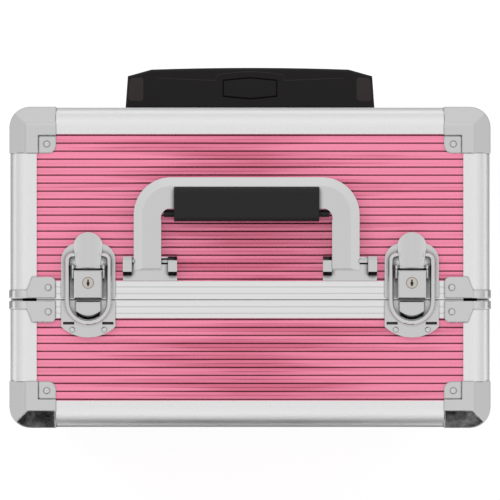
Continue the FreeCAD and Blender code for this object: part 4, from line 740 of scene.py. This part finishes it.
# %% Rings and keyways of the key plugs
KEY_RING = [(3.75, 0.0), (3.8, 0.28), (3.95, 0.4), (4.1, 0.38), (4.25, 0.2), (4.3, 0.0)]
RING_STEPS = 40
RING_SINK = 0.3 * MM
KEYWAY = [(-0.5, 2.4), (-0.5, 0.9), (-1.0, 0.5), (-1.15, -0.4), (-0.9, -1.6),
          (0.9, -1.6), (1.15, -0.4), (1.0, 0.5), (0.5, 0.9), (0.5, 2.4)]
KEYWAY_RISE = 0.33
KEYWAY_DEPTH = 1.6
KEYWAY_TAPER = 0.5
shadow_black = Finish("Shadow black", (0.01, 0.009, 0.008), 0.6, edge_mm=0.05)
shadow_skin = shadow_black.group(moulded_skin, Grains_per_metre=4000.0)
shadow_black.shade(shadow_skin.outputs["Shade"])

for side in ("left", "right"):
    low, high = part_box(side + "_latch_lock_plug")
    face = Vector(((low.x + high.x) / 2, (low.y + high.y) / 2, high.z - RING_SINK))
    bm = bmesh.new()
    add_turned(bm, KEY_RING, face, UP, RING_STEPS)
    keep(finish_mesh(bm, side + "_key_ring"), "rear_lid", ring_brass)
    # A black block in the keyhole's outline, as painted shade for the hole.
    bm = bmesh.new()
    add_block(bm, [face + Vector((x * KEYWAY_TAPER, y, -KEYWAY_DEPTH)) * MM for x, y in KEYWAY],
              [face + Vector((x, y, KEYWAY_RISE)) * MM for x, y in KEYWAY])
    keep(finish_mesh(bm, side + "_keyway_shade"), side + "_plug", shadow_black)
print("key rings and keyways are in place")

# %% [markdown]
# ## Rivets
# Sheet metal on a board is held by rivets: a low dome where it shows. Every tab of a corner cap
# has one, and so has every parting plate; the catches have two smaller ones each. A dome is the
# shape that chrome shows best, because it mirrors the whole room in a few pixels. All places are
# measured from the case's faces, so a table of corners and a loop set them all.

# %% Rivets on caps, parting plates and catches
CAP_RIVET = [(2.5, -0.4), (2.5, 0.1), (2.4, 0.45), (2.1, 0.85), (1.6, 1.2), (0.9, 1.42), (0.0, 1.5)]
SMALL_RIVET = [(2.1, -0.3), (2.1, 0.1), (1.95, 0.45), (1.6, 0.75), (1.1, 0.98), (0.55, 1.08),
               (0.0, 1.1)]
CAP_RIVET_STEPS = 24
SMALL_STEPS = 20
RIVET_IN = 27.5 * MM
TAB_SINK = 0.9 * MM
SHEET_OVER_BOARD = 3.0 * MM
PLATE_RIVET_IN = 28.7 * MM
PLATE_RIVET_RISE = 1.0 * MM
REAR_PLATE_FRONT = 15.1 * MM
FRONT_PLATE_FRONT = 33.3 * MM
LATCH_X = 121.3 * MM
CATCH_RIVET_X = 12.0 * MM
CATCH_RIVET_FRONT = 46.7 * MM
CATCH_RIVET_RISE = 1.2 * MM
half_x = (case_high.x - case_low.x) / 2 + SHEET_OVER_BOARD
face_back = case_high.y + SHEET_OVER_BOARD
face_front = case_low.y - SHEET_OVER_BOARD
floor_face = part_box("base_edge_rails")[0].z


def three_rivets(bm, corner, inward):
    """A rivet on each of the three faces at a corner; inward is the way to the middle."""
    for axis in range(3):
        place = Vector(corner)
        for other in range(3):
            place[other] += inward[other] * (TAB_SINK if other == axis else RIVET_IN)
        out = Vector((0, 0, 0))
        out[axis] = -inward[axis]
        add_turned(bm, CAP_RIVET, place, out, CAP_RIVET_STEPS)


def lid_rivets(face, toward, plate_y):
    """Cap rivets on a lid's two hinge-side corners, and one on each parting plate."""
    def build(bm):
        for side in (-1, 1):
            three_rivets(bm, (side * half_x, face, lid_top), (-side, toward, -1))
            plate_x = side * (half_x - PLATE_RIVET_IN)
            place = Vector((plate_x, plate_y, lid_top + PLATE_RIVET_RISE))
            add_turned(bm, CAP_RIVET, place, UP, CAP_RIVET_STEPS)
    return build


def catch_rivets(bm):
    for side in (-1, 1):
        for offset in (-CATCH_RIVET_X, CATCH_RIVET_X):
            place = Vector((side * LATCH_X + offset, middle_y - CATCH_RIVET_FRONT,
                            lid_top + CATCH_RIVET_RISE))
            add_turned(bm, SMALL_RIVET, place, UP, SMALL_STEPS)


def base_rivets(bm):
    for side in (-1, 1):
        three_rivets(bm, (side * half_x, face_front, floor_face), (-side, 1, 1))


def rivet_set(name, body, build):
    bm = bmesh.new()
    build(bm)
    return keep(finish_mesh(bm, name), body, chrome)


rear_rivets = lid_rivets(face_back, -1, middle_y - REAR_PLATE_FRONT)
front_rivets = lid_rivets(face_front, 1, middle_y - FRONT_PLATE_FRONT)
rivets = [rivet_set("rear_lid_rivets", "rear_lid", rear_rivets),
          rivet_set("front_lid_rivets", "front_lid", front_rivets),
          rivet_set("catch_rivets", "front_lid", catch_rivets),
          rivet_set("base_rivets", "base", base_rivets)]
print("rivet faces:", {piece.name: len(piece.data.polygons) for piece in rivets})

# %% [markdown]
# ## Black sheets of painted shade in the catches' slots
# The two slots of a catch are punched through to a hollow in the board. A thin black sheet under each one is
# painted shade for that hole and keeps the pink sheet from showing there.

# %% Black sheets of painted shade under the slots
SLOT_X = 14.7 * MM
SLOT_FRONT = 41.9 * MM
SLOT_HALF_WIDTH = 4.1 * MM
SLOT_HALF_DEPTH = 0.95 * MM
SLOT_FLOOR_DROP = 0.4 * MM
SLOT_FLOOR_SHEET = 1.0 * MM


def slot_shade_sheet(bm, x, y, top_z):
    plan = [(x + a * SLOT_HALF_WIDTH, y + b * SLOT_HALF_DEPTH)
            for a, b in ((-1, -1), (1, -1), (1, 1), (-1, 1))]
    add_block(bm, [(a, b, top_z - SLOT_FLOOR_SHEET) for a, b in plan],
              [(a, b, top_z) for a, b in plan])


bm = bmesh.new()
for side in (-1, 1):
    for hand in (-1, 1):
        slot_shade_sheet(bm, side * LATCH_X + hand * SLOT_X, middle_y - SLOT_FRONT,
                   lid_top - SLOT_FLOOR_DROP)
# The black sheets stand in for the shade inside the slots.
keep(finish_mesh(bm, "slot_shade_sheets"), "front_lid", matt_black)
print("four slot floors")

# %% [markdown]
# ## Screws on the trolley and the wheel housings
# Plastic mouldings are screwed on, not riveted: pan heads with a cross recess. The head is turned on the lathe
# helper. The recess is painted shade: two thin dark bars that cross on top of the head and stand out by less than
# a tenth of a millimetre, because a true recess would be lost at this size.

# %% Pan-head screws
PAN_HEAD = [(3.0, -0.3), (3.0, 0.3), (2.8, 0.9), (2.2, 1.35), (1.2, 1.6), (0.0, 1.65)]
CROSS_BAR = [(-1.5, -0.28), (1.5, -0.28), (1.5, 0.28), (-1.5, 0.28)]
CROSS_LOW = 1.52
CROSS_TOP = 1.72
BRACKET_SCREW_X = 62 * MM
BRACKET_SCREW_IN = 11 * MM
HOUSING_SCREWS = [(-46, 28), (-46, 12), (-14, 30)]
HOUSING_SCREW_SINK = 0.75 * MM


def add_cross(bm, place, turn):
    """Two crossed dark bars, painted shade that reads as a recess."""
    for degrees in (45, 135):
        spin = turn @ Matrix.Rotation(math.radians(degrees), 3, "Z")
        low, top = ([place + spin @ (Vector((x, y, z)) * MM) for x, y in CROSS_BAR]
                    for z in (CROSS_LOW, CROSS_TOP))
        add_block(bm, low, top)


def screw_set(name, body, places):
    """Heads and their crosses as two pieces: the heads are plated, the crosses are dark as painted shade of the
    recess.
    """
    heads = bmesh.new()
    crosses = bmesh.new()
    for place, out in places:
        add_turned(heads, PAN_HEAD, place, out, SMALL_STEPS)
        add_cross(crosses, place, UP.rotation_difference(Vector(out)).to_matrix())
    keep(finish_mesh(heads, name), body, plated)
    keep(finish_mesh(crosses, name + "_cross"), body, matt_black)


bracket_low, bracket_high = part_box("trolley_brackets")
screw_places = [
    (Vector((side * BRACKET_SCREW_X, bracket_high.y, z)), (0, 1, 0))
    for z in (bracket_low.z + BRACKET_SCREW_IN, bracket_high.z - BRACKET_SCREW_IN)
    for side in (-1, 1)]
screw_set("bracket_screws", "base", screw_places)

housing_low, housing_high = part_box("wheel_housings")
screw_places = [
    (Vector((side * (housing_high.x - HOUSING_SCREW_SINK), housing_high.y + y * MM,
             housing_low.z + z * MM)), (side, 0, 0))
    for side in (-1, 1) for y, z in HOUSING_SCREWS]
screw_set("housing_screws", "base", screw_places)
print("screws are in place")

# %% [markdown]
# ## The trolley grip's seam and pads
# The grip is two mouldings that meet in a fine line with a step near the button, and rubber pads
# end the bar. Both lie on the top face, so they are thin strips that follow a few measured points.

# %% Seam line and end pads of the trolley grip
BACK_FACE = 120.0 * MM
SEAM = [(-70.5, 23.4), (-26.5, 21.6), (-24.6, 26.1), (-12.0, 27.7), (0.0, 28.3)]
SEAM += [(-x, y) for x, y in reversed(SEAM[:-1])]
SEAM_WIDTH = 0.5
SEAM_RISE = 0.15
PAD = [(81.0, 7.5), (82.5, 6.0), (91.0, 6.0), (92.3, 7.5), (91.2, 22.0), (89.5, 23.5),
       (82.5, 24.0), (81.0, 22.5)]
PAD_RISE = 0.35 * MM
PAD_TAPER = 0.997
grip_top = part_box("trolley_grip")[1].z
back_edge = middle_y + BACK_FACE


def strip_along(bm, points, width, z, rise):
    """A flat ribbon with low sides, along points given in millimetres from the back face."""
    rows = []
    for n, (x, y) in enumerate(points):
        before = Vector(points[max(n - 1, 0)])
        after = Vector(points[min(n + 1, len(points) - 1)])
        side = (after - before).normalized().orthogonal() * (width / 2)
        row = []
        for sign, height in ((-1, 0.0), (-1, rise), (1, rise), (1, 0.0)):
            place_y = back_edge + (y + sign * side.y) * MM
            row.append(bm.verts.new(((x + sign * side.x) * MM, place_y, z + height * MM)))
        rows.append(row)
    for low, high in zip(rows, rows[1:]):
        for m in range(3):
            bm.faces.new((low[m], low[m + 1], high[m + 1], high[m]))
    bm.faces.new(rows[0])
    bm.faces.new(rows[-1])


bm = bmesh.new()
strip_along(bm, SEAM, SEAM_WIDTH, grip_top, SEAM_RISE)
keep(finish_mesh(bm, "grip_seam"), "trolley_stage_3", shadow_black)

bm = bmesh.new()
for side in (-1, 1):
    add_block(bm, [(side * x * MM, back_edge + y * MM, grip_top) for x, y in PAD],
              [(side * x * PAD_TAPER * MM, back_edge + y * MM, grip_top + PAD_RISE)
               for x, y in PAD])
keep(finish_mesh(bm, "grip_pads"), "trolley_stage_3", pad_rubber)
print("the grip has its seam and pads")

# %% [markdown]
# ## The floor
# The photograph has a white ground that still shows a soft shadow. The floor is a pale plane that
# glows a little for the camera and for mirrors, so that it looks white without more light on the
# case, and that throws plain diffuse light back for everything else.

# %% The floor
FLOOR_HALF = 60.0
FLOOR_SEEN = 0.24
FLOOR_LIGHT = 0.8
FLOOR_GLOW = 0.86


def stage_plane(name, corners, material):
    mesh = bpy.data.meshes.new(name)
    mesh.from_pydata([Vector(c) for c in corners], [], [tuple(range(len(corners)))])
    mesh.materials.append(material)
    plane = bpy.data.objects.new(name, mesh)
    bpy.context.scene.collection.objects.link(plane)
    plane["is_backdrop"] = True
    return plane


def level_corners(left, right, near, far, z):
    """A level rectangle, from its sides and its height."""
    return [(left, near, z), (right, near, z), (right, far, z), (left, far, z)]


def seen_rays(wires):
    """1 for rays that should see the plain white ground: camera, glossy and transmission."""
    path = wires.add("ShaderNodeLightPath")
    first = wires.math("MAXIMUM", path.outputs["Is Camera Ray"], path.outputs["Is Glossy Ray"])
    return wires.math("MAXIMUM", first, path.outputs["Is Transmission Ray"])


floor_paint = Finish("Pale floor", (1, 1, 1), 0.9)
paint = floor_paint.wires
seen = seen_rays(paint)
mottle = paint.spread(paint.noise(floor_paint.place, 3.0), 0.3, 0.7, 0.99, 1.0)
level = paint.spread(seen, 0.0, 1.0, FLOOR_LIGHT, FLOOR_SEEN)
floor_paint.shade(paint.math("MULTIPLY", level, mottle))
floor_paint.set("Specular IOR Level", 0.0).set("Emission Color", (1, 1, 1, 1))
paint.link(paint.math("MULTIPLY", seen, FLOOR_GLOW), floor_paint.shader.inputs["Emission Strength"])
stage_plane("floor", level_corners(-FLOOR_HALF, FLOOR_HALF, -FLOOR_HALF, FLOOR_HALF, 0),
            floor_paint.material)
print("the floor glows at", FLOOR_GLOW, "where it is seen")

# %% [markdown]
# ## The world
# The world fills in from all sides with plain light. Chrome needs something to mirror, so for
# mirrors alone the world is graded: a little darker at the horizon, at the zenith, where the camera
# would be, and to both sides.

# %% The world
FILL = 0.55
HORIZON_LEVEL = 0.7
CLEAR_HEIGHT = 0.75
ZENITH_FROM, ZENITH_TO, ZENITH_DIM = 0.86, 0.99, 0.14
SIDE_DIM = 0.12
world = bpy.data.worlds.new("Studio")
world.use_nodes = True
bpy.context.scene.world = world
sky = Wiring(world.node_tree)
background = world.node_tree.nodes["Background"]
background.inputs["Color"].default_value = (1, 1, 1, 1)
heading = sky.add("ShaderNodeTexCoord").outputs["Generated"]
path = sky.add("ShaderNodeLightPath")
around = sky.spread(sky.axis(heading, "Z"), 0.0, CLEAR_HEIGHT, HORIZON_LEVEL, 1.0)
overhead = sky.spread(sky.axis(heading, "Z"), ZENITH_FROM, ZENITH_TO, 0.0, ZENITH_DIM)
sideways = sky.math("MULTIPLY", sky.math("ABSOLUTE", sky.axis(heading, "X")), SIDE_DIM)
mirrored = sky.math("SUBTRACT", sky.math("SUBTRACT", around, overhead), sideways)
for_camera = sky.math("MAXIMUM", path.outputs["Is Camera Ray"], path.outputs["Is Transmission Ray"])
for_mirrors = sky.math("MULTIPLY", path.outputs["Is Glossy Ray"], mirrored)
strongest = sky.math("MAXIMUM", sky.math("MAXIMUM", for_camera, for_mirrors), FILL)
sky.link(strongest, background.inputs["Strength"])
print("the world fills at", FILL)

# %% [markdown]
# ## Cards that only mirrors see
# A photographer lays black and grey cards beside the table, and chrome turns them into dark lines
# that show its shape. Here the black ones stand in front and lie below the caps, and grey ones lie
# on the ground around the case. They work only in reflections and are part of the stage.

# %% Reflection cards
CARD_FRONT = 1.0
CARD_HEIGHT = 2.0 * MM
CARD_BLACK = 0.01
UPRIGHT_CARDS = [("left_cap_card", -0.21, -0.142, 0.01, 1.02),
                 ("right_cap_card", 0.142, 0.21, 0.01, 1.02),
                 ("latch_card", -0.142, 0.142, 0.01, 0.6)]
GROUND_CARDS = [("front_ground_card", -0.145, 0.145, -0.8, -0.15, 0.26),
                ("left_cap_ground_card", -0.2, -0.145, -0.6, -0.15, 0.02),
                ("right_cap_ground_card", 0.145, 0.2, -0.6, -0.15, 0.02),
                ("back_ground_card", -1.4, 1.4, 0.2, 0.9, 0.55),
                ("left_ground_card", -1.0, -0.22, -0.15, 0.2, 0.4),
                ("right_ground_card", 0.22, 1.0, -0.15, 0.2, 0.4)]


def card(name, corners, grey):
    paper = bpy.data.materials.new(name)
    paper.use_nodes = True
    shader = paper.node_tree.nodes["Principled BSDF"]
    shader.inputs["Base Color"].default_value = (0, 0, 0, 1)
    shader.inputs["Specular IOR Level"].default_value = 0.0
    shader.inputs["Emission Color"].default_value = (grey, grey, grey, 1)
    shader.inputs["Emission Strength"].default_value = 1.0
    plane = stage_plane(name, corners, paper)
    plane.visible_camera = False
    plane.visible_diffuse = False
    plane.visible_shadow = False
    plane.visible_transmission = False


for name, left, right, low, high in UPRIGHT_CARDS:
    card(name, [(left, -CARD_FRONT, low), (right, -CARD_FRONT, low), (right, -CARD_FRONT, high),
                (left, -CARD_FRONT, high)], CARD_BLACK)
for name, left, right, near, far, grey in GROUND_CARDS:
    card(name, level_corners(left, right, near, far, CARD_HEIGHT), grey)
print(len(UPRIGHT_CARDS) + len(GROUND_CARDS), "cards")

# %% [markdown]
# ## The lamps
# Two big soft lamps stand behind and beside the case and give it form. Mirrors don't see them, so
# that chrome shows the world and the cards, and not two white squares.

# %% Two soft lamps
LAMP_AIM = Vector((0, 0, 0.2))
KEY_WATTS = 76.0
SIDE_WATTS = 31.0


def lamp(name, place, size, watts):
    """A square soft lamp that faces the case."""
    light = bpy.data.lights.new(name, "AREA")
    light.shape = "SQUARE"
    light.size = size
    light.energy = watts
    stand = bpy.data.objects.new(name, light)
    stand.location = place
    stand.rotation_mode = "QUATERNION"
    stand.rotation_quaternion = (Vector(place) - LAMP_AIM).to_track_quat("Z", "Y")
    stand.visible_camera = False
    stand.visible_glossy = False
    bpy.context.scene.collection.objects.link(stand)


lamp("key_lamp", (-1.9, 2.1, 2.6), 3.0, KEY_WATTS)
lamp("side_lamp", (2.6, 0.3, 2.2), 2.6, SIDE_WATTS)
print("two lamps of", KEY_WATTS, "and", SIDE_WATTS, "W beside the case")

# %% [markdown]
# ## The camera
# The photograph looks straight down, from far enough that the walls hide behind the lids. One
# picture point is three quarters of a millimetre at the height of the lids, and the centre of the
# picture lies thirteen millimetres behind the centre of the case. A long lens from eight metres
# gives that flat view.

# %% Camera straight down
PICTURE = 500
POINT = 0.75 * MM
DISTANCE = 8.0
CENTRE_BACK = 13.0 * MM

lens = bpy.data.cameras.new("plan")
lens.sensor_width = 36.0
lens.lens = lens.sensor_width * DISTANCE / (PICTURE * POINT)
camera = bpy.data.objects.new("plan", lens)
camera.location = (0, middle_y + CENTRE_BACK, lid_top + DISTANCE)
bpy.context.scene.collection.objects.link(camera)
bpy.context.scene.camera = camera
bpy.context.scene.view_settings.view_transform = "Standard"
print("lens of %.0f mm" % lens.lens)

# %% [markdown]
# ## Measure the size
# The dressed case should not be larger than the solids it is built on; this cell measures its outer box.

# %% Measure the outer box
low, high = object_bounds()
